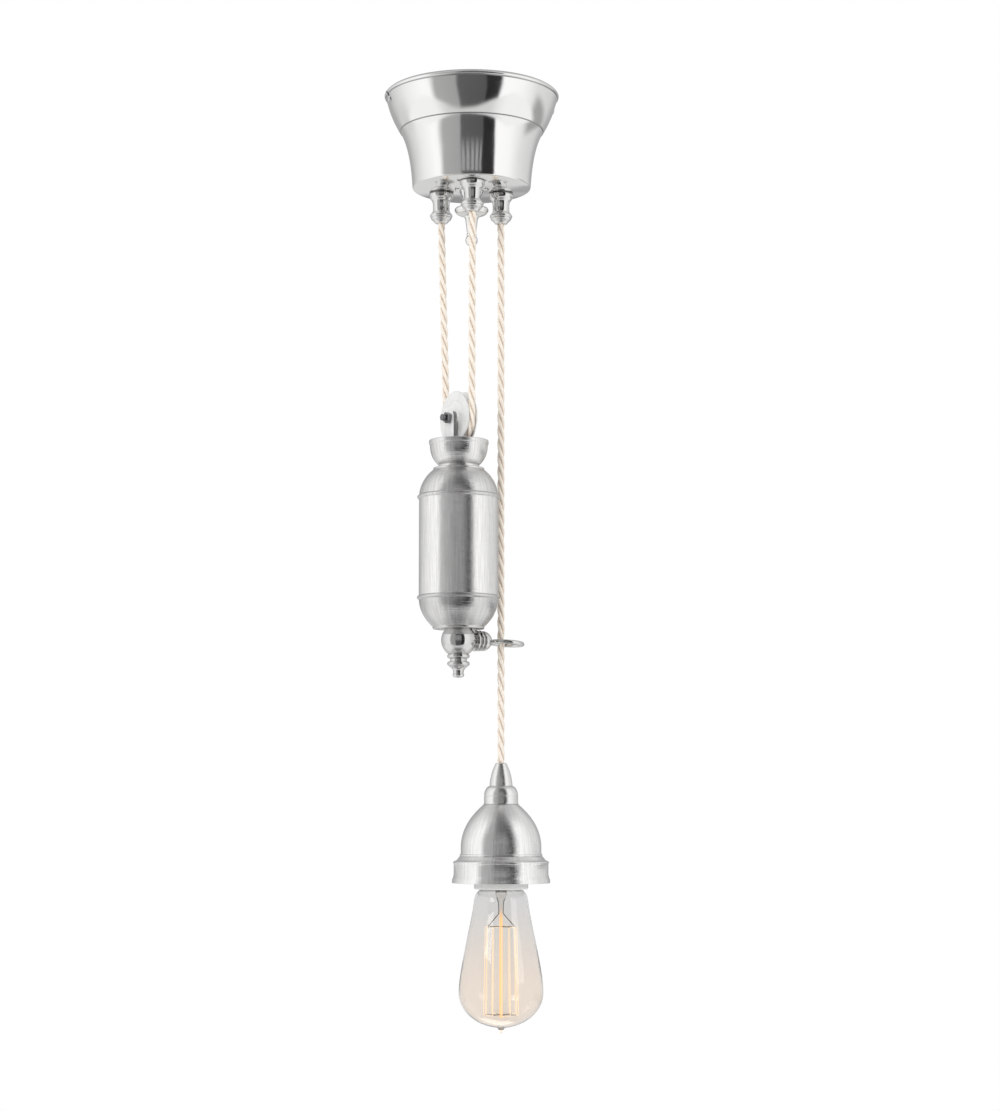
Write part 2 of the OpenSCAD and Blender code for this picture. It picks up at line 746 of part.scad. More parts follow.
module weight_sleeve() {
    color(satin) on_weight() translate([0, 0, -bead_2 + 0.2]) difference() {
        cylinder(h = sleeve_h - 0.4, r = sleeve_r, $fn = 96);
        translate([0, 0, -1]) cylinder(h = sleeve_h + 2, r = sleeve_r - shell_t, $fn = 96);
    }
}

foot_dome = curve([sleeve_r - 0.1, bead_2 + 1.8], [sleeve_r - 0.6, bead_2 + 9.7],
    [26, bead_2 + 16.2], [20.2, weight_foot - 2.2], 10);
foot_inside = [for (p = wall_inside(foot_dome, shell_t)) if (p[1] < weight_foot - 2.4) p];
module bottom_cap() {
    color(satin) on_weight() difference() {
        turned(hung(0, concat(
            [[sleeve_r + touch, bead_2 - 1.6]], bead(bead_2), foot_dome,
            [[19.6, weight_foot - 1.6], [19.8, weight_foot - 0.6], [19.4, weight_foot],
             [0, weight_foot], [0, weight_foot - shell_t], [18, weight_foot - shell_t]],
            foot_inside, [[sleeve_r - 1.3, bead_2 + 0.5], [sleeve_r + touch, bead_2 + 0.5]])));
        translate([0, 0, -weight_foot - 1]) cylinder(h = shell_t + 2, r = rod_r + fit);
    }
}

slug_r = sleeve_r - shell_t - touch;
slug_foot = weight_foot - shell_t;
module cast_slug() {
    color(iron) on_weight() difference() {
        intersection() {
            turned(hung(0, [[0, bead_1 + 2], [slug_r, bead_1 + 2],
                [slug_r - 0.9, bead_2 + 1], [slug_r - 1.6, bead_2 + 8],
                [slug_r - 5, bead_2 + 14.5], [17, slug_foot - 0.8], [17, slug_foot],
                [0, slug_foot]]));
            translate([0, 0, -slug_foot]) cylinder(h = slug_h, r = sleeve_r);
        }
        translate([0, 0, -slug_foot - 1]) cylinder(h = slug_h + 2, r = rod_r + touch);
    }
}

module tie_rod() {
    color(steel) on_weight() {
        translate([0, 0, -ball_mid])
            cylinder(h = ball_mid - cup_floor + fork_base_t + nut_h + 1, r = rod_r);
    }
}

module tie_nut() {
    color(steel) on_weight() translate([0, 0, -cup_floor + fork_base_t])
        hex_nut(nut_r, nut_h, rod_r + fit);
}

boss_r = 6;
ball_flat = hub_r - 2.2;
finial_seat = hub_r - 2.4;
module hub_ball() {
    color(nickel) on_weight() translate([0, 0, -ball_mid]) difference() {
        sphere(r = hub_r, $fn = 96);
        translate([-20, -20, ball_mid - weight_foot]) cube([40, 40, 20]);
        translate([-20, -20, -finial_seat - 20]) cube([40, 40, 20]);
        translate([0, 0, -1]) cylinder(h = 20, r = rod_r + fit);
        translate([0, 0, -hub_r - 1]) cylinder(h = 9, r = 2 + fit);
        along_x([ball_flat - 5, 0, 0]) cylinder(h = 8, r = 2 + fit);
        translate([ball_flat, -20, -20]) cube([20, 40, 40]);
    }
}

module weight_finial() {
    color(nickel) on_weight() translate([0, 0, -ball_mid - finial_seat]) {
        turned(hung(0, concat(
            [[0, 0], [7.6, 0]], arc([7.0, 1.5], 1.6, -68, 68, 6),
            curve([7.2, 3.2], [6.4, 3.8], [6.2, 4.2], [6.3, 5.2], 4),
            arc([6.9, 7.2], 1.7, -62, 70, 6),
            curve([7.3, 9], [6.2, 10.2], [4.6, 10.6], [4.1, 13], 5),
            [[3.9, 14.4], [4.4, 15], [4.4, 16], [3.7, 17.4], [0, 18]])));
        cylinder(h = 5, r = 2);
    }
}

// The knob that carries the ring: a boss, two thin collars and a half ball
knob_r = 7.7;
knob_from = ball_flat + 9.7;
module guide_knob() {
    color(nickel) on_weight() translate([0, 0, -ball_mid]) difference() {
        union() {
            along_x([ball_flat, 0, 0]) turned(concat(
                [[0, 0], [boss_r + 0.6, 0], [boss_r, 1.6], [boss_r, 2.6], [8, 2.9], [8.2, 3.5],
                 [8, 4.6], [5.6, 5], [5.6, 6.2], [7.7, 6.5], [8, 7.2], [7.7, 8.2],
                 [5.4, 8.6], [5.4, 9.5], [knob_r - 0.4, 9.6]],
                arc([0, 10], knob_r, 2, 90, 10)));
            along_x([ball_flat - 4.5, 0, 0]) cylinder(h = 5, r = 2);
        }
        along_x([knob_from + knob_r - 5, 0, 0]) cylinder(h = 8, r = 1.5 + fit);
    }
}

ring_near = ring_reach - ring_r - ring_wire_r;
module guide_ring() {
    color(nickel) on_weight() translate([ring_near, 0, -ball_mid])
        rotate([0, ring_droop, 0]) translate([ring_reach - ring_near, 0, 0]) {
            rotate_extrude($fn = 96) translate([ring_r, 0]) circle(r = ring_wire_r, $fn = 24);
        }
    color(nickel) on_weight() along_x([knob_from + knob_r - 4.5, 0, -ball_mid])
        cylinder(h = 6, r = 1.5);
}

// ------------------------------------------------------------------ lamp

// Drops below the top of the cord grip
grip_h = 17.5;
cap_foot = 31.2;
shade_top = 31.5;
step_at = 69.8;
shade_foot = 91;
holder_top = 44;
ring_foot = 95.7;
nipple_r = 4.95;
nipple_up = 8.5;          // nipple's height inside the grip

module on_lamp() {
    hang() translate([gland_lamp_at[0], 0, lamp_top_z]) children();
}

module cord_grip() {
    color(nickel) on_lamp() difference() {
        turned(hung(0, concat(
            [[0, 0], [cord_way + 0.8, 0]],
            curve([cord_way + 1.2, 0.3], [6.2, 4.4], [8.4, 9.6], [8.8, grip_h], 8),
            [[0, grip_h]])));
        translate([0, 0, -grip_h]) cylinder(h = grip_h + 1, r = cord_way);
        translate([0, 0, -grip_h - 1]) cylinder(h = nipple_up + 1, r = nipple_r + fit);
    }
}

module shade_cap() {
    color(nickel) on_lamp() difference() {
        turned(hung(0, concat(
            [[0, grip_h], [9.2, grip_h]],
            curve([9.4, grip_h + 0.1], [11.6, grip_h + 1.1], [12.8, grip_h + 4], [13, 24.6], 8),
            [[12.7, 25], [13, 25.4], [13, cap_foot - 0.8], [13.4, cap_foot], [0, cap_foot]])));
        translate([0, 0, -cap_foot - 1])
            cylinder(h = cap_foot - grip_h + 2, r = nipple_r + fit);
    }
}

dome = curve([13.6, shade_top + 0.1], [20, 37.5], [dome_r - 1.1, 46.5], [dome_r, 62], 14);
skirt_wall = skirt_r - 1.3;
shade_lower = [[dome_r + 0.1, step_at], [dome_r + 0.9, step_at + 0.7],
    [dome_r + 1.9, step_at + 1.8], [skirt_wall - 2.5, step_at + 3.4],
    [skirt_wall - 0.9, step_at + 4.8], [skirt_wall, step_at + 6.6],
    [skirt_wall, step_at + 14.6], [skirt_wall + 0.5, step_at + 16.8],
    [skirt_r - 0.1, step_at + 18.4], [skirt_r, shade_foot]];
module shade() {
    outer = concat(dome, shade_lower);
    inner = [for (p = wall_inside(outer, shade_t)) if (p[1] > shade_top + shade_t + 0.2) p];
    color(nickel) on_lamp() difference() {
        turned(hung(0, concat([[0, shade_top - 0.3], [12.9, shade_top - 0.3]], outer,
            inner, [[12, shade_top + shade_t], [0, shade_top + shade_t]])));
        translate([0, 0, -shade_top - shade_t - 1])
            cylinder(h = shade_t + 2, r = nipple_r + fit);
    }
}

nipple_foot = 50;
module threaded_nipple() {
    color(brass) on_lamp() translate([0, 0, -nipple_foot]) difference() {
        cylinder(h = nipple_foot - grip_h + nipple_up - 0.5, r = nipple_r);
        translate([0, 0, -1])
            cylinder(h = nipple_foot - grip_h + nipple_up + 1, r = cord_way + 0.5);
    }
}

module nipple_nut() {
    color(brass) on_lamp() translate([0, 0, -shade_top - shade_t - nut_h])
        hex_nut(8.6, nut_h, nipple_r + fit);
}

cavity_r = 14.8;
cavity_top = 63;
module lampholder() {
    color(porcelain) on_lamp() difference() {
        turned(hung(0, concat(
            [[0, holder_top], [holder_r - 7, holder_top]],
            arc([holder_r - 6, holder_top + 6], 6, -90, 0, 6),
            [[holder_r, 83.8], [holder_r - 0.8, 84.2], [holder_r - 0.8, ring_foot - 2.4],
             [0, ring_foot - 2.4]])));
        translate([0, 0, -nipple_foot - 4]) cylinder(h = 12, r = nipple_r + fit);
        translate([0, 0, -ring_foot]) cylinder(h = ring_foot - cavity_top, r = cavity_r);
        for (y = [-7.5, 7.5])
            translate([0, y, -cavity_top - 1]) cylinder(h = 8, r = 1.5 + fit);
    }
}

holder_ring_r = 20.7;
module holder_ring() {
    color(white_plastic) on_lamp() difference() {
        turned(hung(0, [[0, 84.6], [holder_ring_r - 0.5, 84.6], [holder_ring_r, 85.2],
            [holder_ring_r, ring_foot - 0.7], [holder_ring_r - 0.7, ring_foot],
            [0, ring_foot]]));
        translate([0, 0, -ring_foot + 2.2]) cylinder(h = 20, r = holder_r - 0.8 + fit);
        translate([0, 0, -ring_foot - 1]) cylinder(h = 5, r = 15.6);
    }
}

shell_from = 66;
shell_to = 88;
bulb_cap_r = 13.1;
module screw_shell() {
    color(brass) on_lamp() translate([0, 0, -shell_to]) difference() {
        cylinder(h = shell_to - shell_from, r = cavity_r - touch);
        translate([0, 0, -1])
            cylinder(h = shell_to - shell_from + 2, r = bulb_cap_r + 0.35);
    }
}

// A strip that bears on the bulb's foot, on two posts to the holder's terminals
contact_at = 64.4;
module centre_contact() {
    color(brass) on_lamp() {
        translate([-2.5, -9.5, -contact_at]) cube([5, 19, 1]);
        translate([0, 0, -contact_at - 1]) cylinder(h = 1, r = 2.2);
        for (y = [-7.5, 7.5])
            translate([0, y, -contact_at + 1]) cylinder(h = 5, r = 1.5);
    }
}

// ------------------------------------------------------------------ bulb

bulb_foot = 65.7;
insulator_h = 3;
glass_from = 88.6;
glass_tip = 204.2;
widest = 170;

neck = [[12.4, glass_from], [12.7, 91], [13.6, 93.6], [15.1, 95.6], [17, 96.6], [18.6, 98.2],
    [19.8, 100.8]];
body = curve([20.7, 104.5], [21.6, 117], [bulb_r - 1, 152], [bulb_r, widest], 12);
round_end = curve([bulb_r + 0.05, widest + 3], [bulb_r + 0.4, 184], [23, 197], [3.6, 199.5], 12);
glass_side = concat(neck, body, round_end);

module bulb_glass() {
    inner = [for (p = wall_inside(glass_side, glass_t)) if (p[1] > glass_from + 0.1) p];
    color(glass_tint) on_lamp()
        turned(hung(0, concat(glass_side,
            [[2, 200.8], [1, 202.8], [0, glass_tip], [0, 199.5 - glass_t]],
            inner, [[12.4 - glass_t, glass_from]])));
}

module bulb_cap() {
    pitch = 3.6;
    crests = [for (i = [0:4]) each [
        [bulb_cap_r - 0.9, bulb_foot + insulator_h + 2.2 + i * pitch],
        [bulb_cap_r, bulb_foot + insulator_h + 4 + i * pitch]]];
    color(steel) on_lamp() difference() {
        turned(hung(0, concat([[0, bulb_foot + insulator_h],
            [9, bulb_foot + insulator_h]], crests,
            [[bulb_cap_r - 0.9, glass_from - 0.8], [12.9, glass_from - 0.7],
             [12.9, glass_from - 0.2], [0, glass_from - 0.2]])));
        translate([0, 0, -glass_from])
            cylinder(h = glass_from - bulb_foot - insulator_h - 2.4, r = 11.6);
        translate([0, 0, -bulb_foot - insulator_h - 3]) cylinder(h = 4, r = 6);
    }
}

module bulb_insulator() {
    color("black") on_lamp() {
        turned(hung(0, [[0, bulb_foot], [4.6, bulb_foot], [8.8, bulb_foot + insulator_h],
            [5.8, bulb_foot + insulator_h], [5.8, bulb_foot + insulator_h + 2],
            [0, bulb_foot + insulator_h + 2]]));
    }
}

// The glass foot inside the neck, pinched at its end, with the rod below it
stem_foot = 104;
rod_foot = 192;
support_top = 124;
module bulb_stem() {
    color(glass_tint) on_lamp() turned(hung(0, [[0, bulb_foot + insulator_h + 2],
        [2.6, bulb_foot + insulator_h + 2], [2.6, 84], [11.3, 92.4], [10.6, 93.4],
        [4.4, 92.5], [4.2, stem_foot - 4], [2.4, stem_foot], [1.3, stem_foot + 1.5],
        [1.3, rod_foot], [0, rod_foot + 0.6]]));
}

lead_r = 0.4;
module lead_wires() {
    color(steel) on_lamp() for (way = [-1, 1])
        tube([[3.8 * way, 0, -stem_foot + 2], [2.3 * way, 0, -stem_foot - 1.8],
              [1.9 * way, 0, -support_top + 10], [11.4 * way, 0, -support_top + 0.6]],
            lead_r, 8);
}

// Spokes from the rod out to the turns of the filament
hook_r = 0.3;
cage_top_r = 12;
cage_foot_r = 13.2;
cage_foot = 190;
module filament_hooks() {
    color(steel) on_lamp() for (i = [0:strands / 2 - 1], low = [false, true]) {
        reach = (low ? cage_foot_r : cage_top_r) * cos(180 / strands) - strand_r;
        z = low ? -cage_foot : -support_top;
        rotate([0, 0, 360 * (2 * i + (low ? 0.5 : 1.5)) / strands])
            bar([1.35, 0, z], [reach - 0.05, 0, z], hook_r);
    }
}

// One wire that runs up and down between the hooks, open at one turn
strand_r = 0.35;
function cage_point(i, low) =
    let (a = 360 * i / strands, r = low ? cage_foot_r : cage_top_r)
    [r * cos(a), r * sin(a), low ? -cage_foot : -support_top];
cage_route = [for (i = [0:strands - 1])
    each [cage_point(i, i % 2 == 1), cage_point(i, i % 2 == 0)]];
module filament() {
    color("orange") on_lamp() tube(cage_route, strand_r, 6);
}

canopy();
ceiling_strap();
canopy_screws();
centre_rod();
rod_nuts();
rosette();
canopy_finial();
gland_fixed();
gland_weight();
gland_lamp();
gland_locknuts();
gland_bushes();
wheel_yoke();
canopy_wheel();
canopy_axle();
canopy_axle_nut();
cord_anchor();
anchor_screw();
terminal_block();
terminal_screws();
earth_screw();
cord_tail();
core_wires();
cord_over_canopy_wheel();
cord_fixed_leg();
cord_under_weight_wheel();
cord_rising_leg();
cord_lamp_leg();
cord_lamp_end();
weight_fork();
weight_wheel();
weight_axle();
weight_axle_nuts();
weight_cup();
top_cap();
weight_sleeve();
bottom_cap();
cast_slug();
tie_rod();
tie_nut();
hub_ball();
weight_finial();
guide_knob();
guide_ring();
cord_grip();
shade_cap();
shade();
threaded_nipple();
nipple_nut();
lampholder();
holder_ring();
screw_shell();
centre_contact();
bulb_glass();
bulb_cap();
bulb_insulator();
bulb_stem();
lead_wires();
filament_hooks();
filament();
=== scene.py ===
# Rise and fall pendant light: every visible piece, made over the frame of its CAD parts.
# Its sizes are in millimetres, and the studio's are in metres. "Drop" is a distance down
# from a piece's own top.

import math
import bmesh
import bpy
from mathutils import Matrix, Vector
from mathutils.geometry import tessellate_polygon


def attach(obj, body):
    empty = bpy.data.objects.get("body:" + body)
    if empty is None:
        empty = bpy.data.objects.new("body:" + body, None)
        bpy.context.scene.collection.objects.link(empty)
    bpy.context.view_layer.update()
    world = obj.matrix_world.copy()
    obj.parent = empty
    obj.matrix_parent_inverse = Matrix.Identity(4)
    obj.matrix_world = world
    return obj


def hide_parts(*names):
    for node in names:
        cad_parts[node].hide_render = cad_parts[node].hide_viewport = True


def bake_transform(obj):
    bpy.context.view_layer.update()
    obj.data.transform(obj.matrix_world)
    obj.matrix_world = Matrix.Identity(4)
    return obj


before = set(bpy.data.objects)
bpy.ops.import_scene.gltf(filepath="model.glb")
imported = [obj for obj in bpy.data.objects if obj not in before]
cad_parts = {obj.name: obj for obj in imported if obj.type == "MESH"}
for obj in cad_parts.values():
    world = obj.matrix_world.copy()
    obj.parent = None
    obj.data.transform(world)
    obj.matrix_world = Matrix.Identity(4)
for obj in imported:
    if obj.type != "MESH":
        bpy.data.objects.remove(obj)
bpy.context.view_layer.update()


# ---------------------------------------------------------------- the camera
# A long lens nearly two metres in front of the light, level with its lamp and
# tilted up, so the canopy shows its underside and the rims bow upwards.
def in_scene(name, data):
    """A new object, in the scene."""
    made = bpy.data.objects.new(name, data)
    bpy.context.collection.objects.link(made)
    return made


lens_data = bpy.data.cameras.new("view_from_below")
lens_data.sensor_fit = "VERTICAL"
lens_data.sensor_height = 36
lens_data.lens = 79.39
camera = in_scene("view_from_below", lens_data)
camera.location = (0.0221, -1.867, -0.556)
camera.rotation_euler = (math.radians(95.9), 0, 0)
bpy.context.scene.camera = camera


# ---------------------------------------------------------------- the studio
# A white room with grey and white flats round a dark camera stand, a light floor and a
# dim ceiling. Only polished metal sees them: the camera and the glass see plain white.
class Term:
    """An output of a node, which can take part in sums."""

    def __init__(self, maker, socket):
        self.maker = maker
        self.socket = socket

    def of(self, name):
        return Term(self.maker, self.socket.node.outputs[name])

    def __add__(self, other):
        return self.maker.maths("ADD", self, other)

    __radd__ = __add__

    def __sub__(self, other):
        return self.maker.maths("SUBTRACT", self, other)

    def __rsub__(self, other):
        return self.maker.maths("SUBTRACT", other, self)

    def __mul__(self, other):
        return self.maker.maths("MULTIPLY", self, other)

    __rmul__ = __mul__

    def __truediv__(self, other):
        return self.maker.maths("DIVIDE", self, other)

    def __rtruediv__(self, other):
        return self.maker.maths("DIVIDE", other, self)


class Maker:
    """Adds nodes to one emptied tree: first a node's settings, then its sockets."""

    def __init__(self, tree):
        self.tree = tree
        tree.nodes.clear()

    def node(self, kind, settings=None, values=None, out=0):
        made = self.tree.nodes.new(kind)
        for name, value in (settings or {}).items():
            if name == "stops":
                ramp = made.color_ramp
                while len(ramp.elements) < len(value):
                    ramp.elements.new(1)
                for element, (place, colour) in zip(ramp.elements, value):
                    element.position = place
                    element.color = colour
            else:
                setattr(made, name, value)
        for name, value in (values or {}).items():
            if isinstance(value, Term):
                self.tree.links.new(value.socket, made.inputs[name])
            else:
                made.inputs[name].default_value = value
        return Term(self, made.outputs[out]) if made.outputs else made

    def maths(self, operation, *values):
        return self.node("ShaderNodeMath", {"operation": operation}, dict(enumerate(values)))

    def rise(self, value, low, high):
        """0 below low, 1 above high and a smooth step between them."""
        return self.node("ShaderNodeMapRange", {"interpolation_type": "SMOOTHSTEP"},
                         {"Value": value, "From Min": low, "From Max": high})

    def band(self, value, low, high, soft):
        return self.rise(value, low - soft, low + soft) \
            * (1 - self.rise(value, high - soft, high + soft))

    def mixed(self, amount, a, b):
        """One colour or the other."""
        return self.node("ShaderNodeMix", {"data_type": "RGBA"}, {0: amount, 6: a, 7: b}, 2)

    def chosen(self, amount, a, b):
        """One number or the other."""
        return self.node("ShaderNodeMix", {"data_type": "FLOAT"}, {0: amount, 2: a, 3: b})

    def noise(self, place, scale, detail=2.0, rough=0.5):
        return self.node("ShaderNodeTexNoise", values={
            "Vector": place, "Scale": scale, "Detail": detail, "Roughness": rough})

    def covering(self, values, height, distance=0.0009, strength=1.0):
        """Ends a material: its colour and so on, and the relief of its surface."""
        relief = self.node("ShaderNodeBump", values={
            "Strength": strength, "Distance": distance, "Height": height})
        body = self.node("ShaderNodeBsdfPrincipled", values={**values, "Normal": relief})
        self.node("ShaderNodeOutputMaterial", values={"Surface": body})


def new_finish(name):
    """An empty material and the maker of its nodes."""
    finish = bpy.data.materials.new(name)
    finish.use_nodes = True
    return finish, Maker(finish.node_tree)


room = bpy.data.worlds.new("white_studio")
room.use_nodes = True
bpy.context.scene.world = room
m = Maker(room.node_tree)
seen = m.node("ShaderNodeTexCoord", out="Generated")
split = m.node("ShaderNodeSeparateXYZ", values={0: seen})
east, north, up = split, split.of("Y"), split.of("Z")
# Degrees round from the camera, to the right, and degrees up
degrees = 180 / math.pi
turn = m.maths("ARCTAN2", east, 0 - north) * degrees
lift = m.maths("ARCSINE", up) * degrees
# What stands round it, as how bright it is at each turn: grey and white flats on both
# sides of the dark stand. A ramp's colours end at 1, so they are scaled down and up.
brightest = 1.2
flats = m.node("ShaderNodeValToRGB", {"stops": [
    ((at + 180) / 360, (v / brightest, v / brightest, v / brightest, 1)) for at, v in (
        (-180, 0.4), (-150, 0.46), (-128, 0.72), (-100, 0.98), (-70, 1.14), (-61, 1.12),
        (-51, 0.46), (-21, 0.4), (-18, 0.12), (20, 0.1), (22, 0.025), (42, 0.025), (45, 1.16),
        (74, 1.1), (100, 0.86), (135, 0.72), (155, 0.45), (180, 0.4))]}, {0: turn / 360 + 0.5})
flats = m.node("ShaderNodeSeparateColor", values={0: flats}) * brightest
# Pale bars on the stand, from level upwards, and an even wall behind the light, below
stripes = m.rise(m.maths("SINE", turn * 0.72), -0.8, -0.1)
stripes = stripes * m.rise(lift, -12, 3) * (1 - m.rise(lift, 24, 32)) * m.band(turn, -18, 20, 1)
level = m.chosen(stripes, flats, 0.4)
behind = m.rise(m.maths("ABSOLUTE", turn), 100, 130)
level = m.chosen(behind * (1 - m.rise(lift, -9, -2)), level, 0.72)
# Their feet stand on a round light floor with a dim middle, and the room above is dim
foot = (turn + 5) * (turn + 5) * 0.005 - 40
foot = m.maths("MINIMUM", foot, -18)
aside = m.maths("ABSOLUTE", turn + 3)
to_sides = m.rise(aside, 34, 62) * (1 - m.rise(aside, 110, 140))
below = m.chosen(m.rise(lift, -86, -72), 0.36, m.chosen(to_sides, 0.26, 0.62))
on_floor = m.chosen(m.rise(lift, -66, -46), below, m.chosen(to_sides, 0.74, 1.04))
dim_corner = m.rise(turn, 94, 112) * m.band(lift, -34, -6, 4)
level = m.chosen(dim_corner, level, 0.4)
level = m.chosen(m.rise(lift - foot, -2.5, 2.5), on_floor, level)
sky = m.chosen(m.band(turn, -34, 40, 10), 0.5, 0.14)
level = m.chosen(m.rise(lift, 40, 74), level, sky)
shine = m.node("ShaderNodeBackground", values={"Color": (1, 1, 1, 1), "Strength": level})
even = m.node("ShaderNodeBackground", values={"Color": (1, 1, 1, 1), "Strength": 0.9})
white = m.node("ShaderNodeBackground", values={"Color": (1, 1, 1, 1), "Strength": 1.0})
path = m.node("ShaderNodeLightPath", out="Is Camera Ray")
by_ray = m.node("ShaderNodeMixShader", values={0: path.of("Is Glossy Ray"), 1: even, 2: shine})
by_ray = m.node("ShaderNodeMixShader",
                values={0: path.of("Is Transmission Ray"), 1: by_ray, 2: white})
by_ray = m.node("ShaderNodeMixShader", values={0: path, 1: by_ray, 2: white})
m.node("ShaderNodeOutputWorld", values={"Surface": by_ray})

for name, place, aim, size, power in (
        ("key_box", (-1.5, -1.6, 0.5), (0, 0, -0.35), 1.0, 17),
        ("fill_box", (1.7, -1.1, 0.1), (0, 0, -0.35), 1.0, 8),
        ("back_box", (0.2, 1.8, 0.6), (0, 0, -0.35), 1.0, 8)):
    lamp_data = bpy.data.lights.new(name, "AREA")
    lamp_data.size = size
    lamp_data.energy = power
    lamp = in_scene(name, lamp_data)
    lamp.location = place
    lamp.rotation_euler = (Vector(aim) - Vector(place)).to_track_quat("-Z", "Y").to_euler()
    lamp.visible_glossy = False
    lamp.visible_camera = False

ground, m = new_finish("studio_floor")
paper = m.node("ShaderNodeBsdfDiffuse", values={"Color": (0.9, 0.9, 0.9, 1)})
glow = m.node("ShaderNodeEmission", values={"Color": (1, 1, 1, 1), "Strength": 1.0})
path = m.node("ShaderNodeLightPath", out="Is Camera Ray")
seen_white = path * 0.9
under = m.node("ShaderNodeNewGeometry", out="Backfacing")
clear = m.node("ShaderNodeBsdfTransparent")
body = m.node("ShaderNodeMixShader", values={0: seen_white, 1: paper, 2: glow})
body = m.node("ShaderNodeMixShader", values={0: under, 1: body, 2: clear})
m.node("ShaderNodeOutputMaterial", values={"Surface": body})
floor_mesh = bpy.data.meshes.new("studio_floor")
floor_mesh.from_pydata([(x, y, -1.9) for x, y in ((-4, -4), (4, -4), (4, 4), (-4, 4))], [],
                       [(0, 1, 2, 3)])
floor_mesh.materials.append(ground)
studio_floor = in_scene("studio_floor", floor_mesh)
studio_floor.visible_glossy = False

bpy.context.scene.view_settings.view_transform = "Standard"


# ------------------------------------------------------------------ the cord
# Three cores, each braided over with cream thread and laid up into one 5.5 mm cord.
# Its fixed end is held in the canopy; it runs under the weight's wheel, up over the
# canopy's wheel and down to the lamp, which hangs from its other end.
plan_turn = 32
cord_step = 1.1


def fitted(x, y, z):
    """A point of the light's own plan, in millimetres, in the frame that the light hangs
    in: its glands and wheels are turned round the rod, to face the camera."""
    a = math.radians(plan_turn)
    return Vector((x * math.cos(a) - y * math.sin(a), x * math.sin(a) + y * math.cos(a), z)) / 1000


def stepped(a, b):
    count = max(2, round((b - a).length * 1000 / cord_step))
    return [a.lerp(b, i / count) for i in range(count + 1)]


def round_wheel(centre, along, radius, start, end):
    """Half a turn round a wheel, in the upright plane that holds the direction along."""
    count = round(abs(math.radians(end - start)) * radius / cord_step)
    line = []
    for i in range(count + 1):
        a = math.radians(start + (end - start) * i / count)
        line.append(fitted(centre[0] + radius * math.cos(a) * along[0],
                           centre[1] + radius * math.cos(a) * along[1],
                           centre[2] + radius * math.sin(a)))
    return line


def eased(points, count):
    """A smooth line through a few points, in this many steps between each two."""
    line = []
    for i in range(len(points) - 1):
        a, b = points[max(i - 1, 0)], points[i]
        c, d = points[i + 1], points[min(i + 2, len(points) - 1)]
        for k in range(count):
            t = k / count
            line.append(b * 1 + (c - a) * (t / 2) + (a * 2 - b * 5 + c * 4 - d) * (t * t / 2)
                        + (b * 3 - a - c * 3 + d) * (t ** 3 / 2))
    return line + [points[-1]]


# The glands stand at thirds of a circle of radius 27, and the cord leaves straight down
fixed_gland = (-13.5, 23.383)
weight_gland = (-13.5, -23.383)
lamp_gland = (27, 0)
gland_end = -100.8
lamp_x = lamp_gland[0]
lamp_top = -521.3
anchor_top = -59.7
# The upper wheel stands over the last two glands, and the lower one turns in the loop
upper_pitch = 23.383
upper_at = (6.75, -11.691, -46.22)
lower_pitch = 19.2
pulley_x = -11.2
pulley_axle = -258.2
leg_foot = pulley_axle + 13

tail_line = eased([fitted(fixed_gland[0] + x, fixed_gland[1] + y, z) for x, y, z in (
    (-8, -7, -29), (-5, -4, -36), (-2, -1, -44), (0, 0, -52), (0, 0, anchor_top))], 8)
tail_line += stepped(fitted(*fixed_gland, anchor_top), fitted(*fixed_gland, gland_end))[1:]
left_foot = fitted(pulley_x, lower_pitch, leg_foot)
right_foot = fitted(pulley_x, -lower_pitch, leg_foot)
fixed_line = stepped(fitted(*fixed_gland, gland_end), left_foot)
under_line = stepped(left_foot, fitted(pulley_x, lower_pitch, pulley_axle))
under_line += round_wheel((pulley_x, 0, pulley_axle), (0, 1), lower_pitch, 0, -180)[1:]
under_line += stepped(fitted(pulley_x, -lower_pitch, pulley_axle), right_foot)[1:]
rising_line = stepped(right_foot, fitted(*weight_gland, gland_end))
over_line = stepped(fitted(*weight_gland, gland_end), fitted(*weight_gland, upper_at[2]))
over_line += round_wheel(upper_at, (math.cos(math.pi / 6), 0.5), upper_pitch, 180, 0)[1:]
over_line += stepped(fitted(*lamp_gland, upper_at[2]), fitted(*lamp_gland, gland_end))[1:]
lamp_line = stepped(fitted(*lamp_gland, gland_end), fitted(*lamp_gland, lamp_top))
end_line = stepped(fitted(*lamp_gland, lamp_top), fitted(*lamp_gland, lamp_top - 46))

# Each core's braid: light thread crossing both ways, and painted shade down between the cores,
# where they lie against each other
thread, m = new_finish("cream_braided_cord")
around = m.node("ShaderNodeAttribute", {"attribute_name": "around"}, out="Vector")
across = m.node("ShaderNodeSeparateXYZ", values={0: around})
round_angle = m.maths("ARCTAN2", across.of("Y"), across)
run = m.node("ShaderNodeAttribute", {"attribute_name": "run"}, out="Fac")
proud = m.node("ShaderNodeAttribute", {"attribute_name": "proud"}, out="Fac")
one_way = m.maths("SINE", round_angle * 6 + run * 7.2)
other_way = m.maths("SINE", round_angle * 6 - run * 7.2)
plait = m.maths("MAXIMUM", one_way, other_way)
fleck = m.noise(m.node("ShaderNodeTexCoord", out="Object"), 900.0, 3.0)
# Painted shade: the dark tone where a core lies low, between the cores, and the light tone where
# it stands out
tone = m.mixed(m.rise(proud, 0.55, 1.0), (0.62, 0.51, 0.41, 1), (0.93, 0.86, 0.77, 1))
tone = m.mixed(m.rise(plait, -0.2, 0.9) * 0.6, m.mixed(0.5, tone, (0.74, 0.64, 0.54, 1)), tone)
tone = m.mixed(m.rise(fleck, 0.42, 0.7) * 0.25, tone, (0.97, 0.92, 0.84, 1))
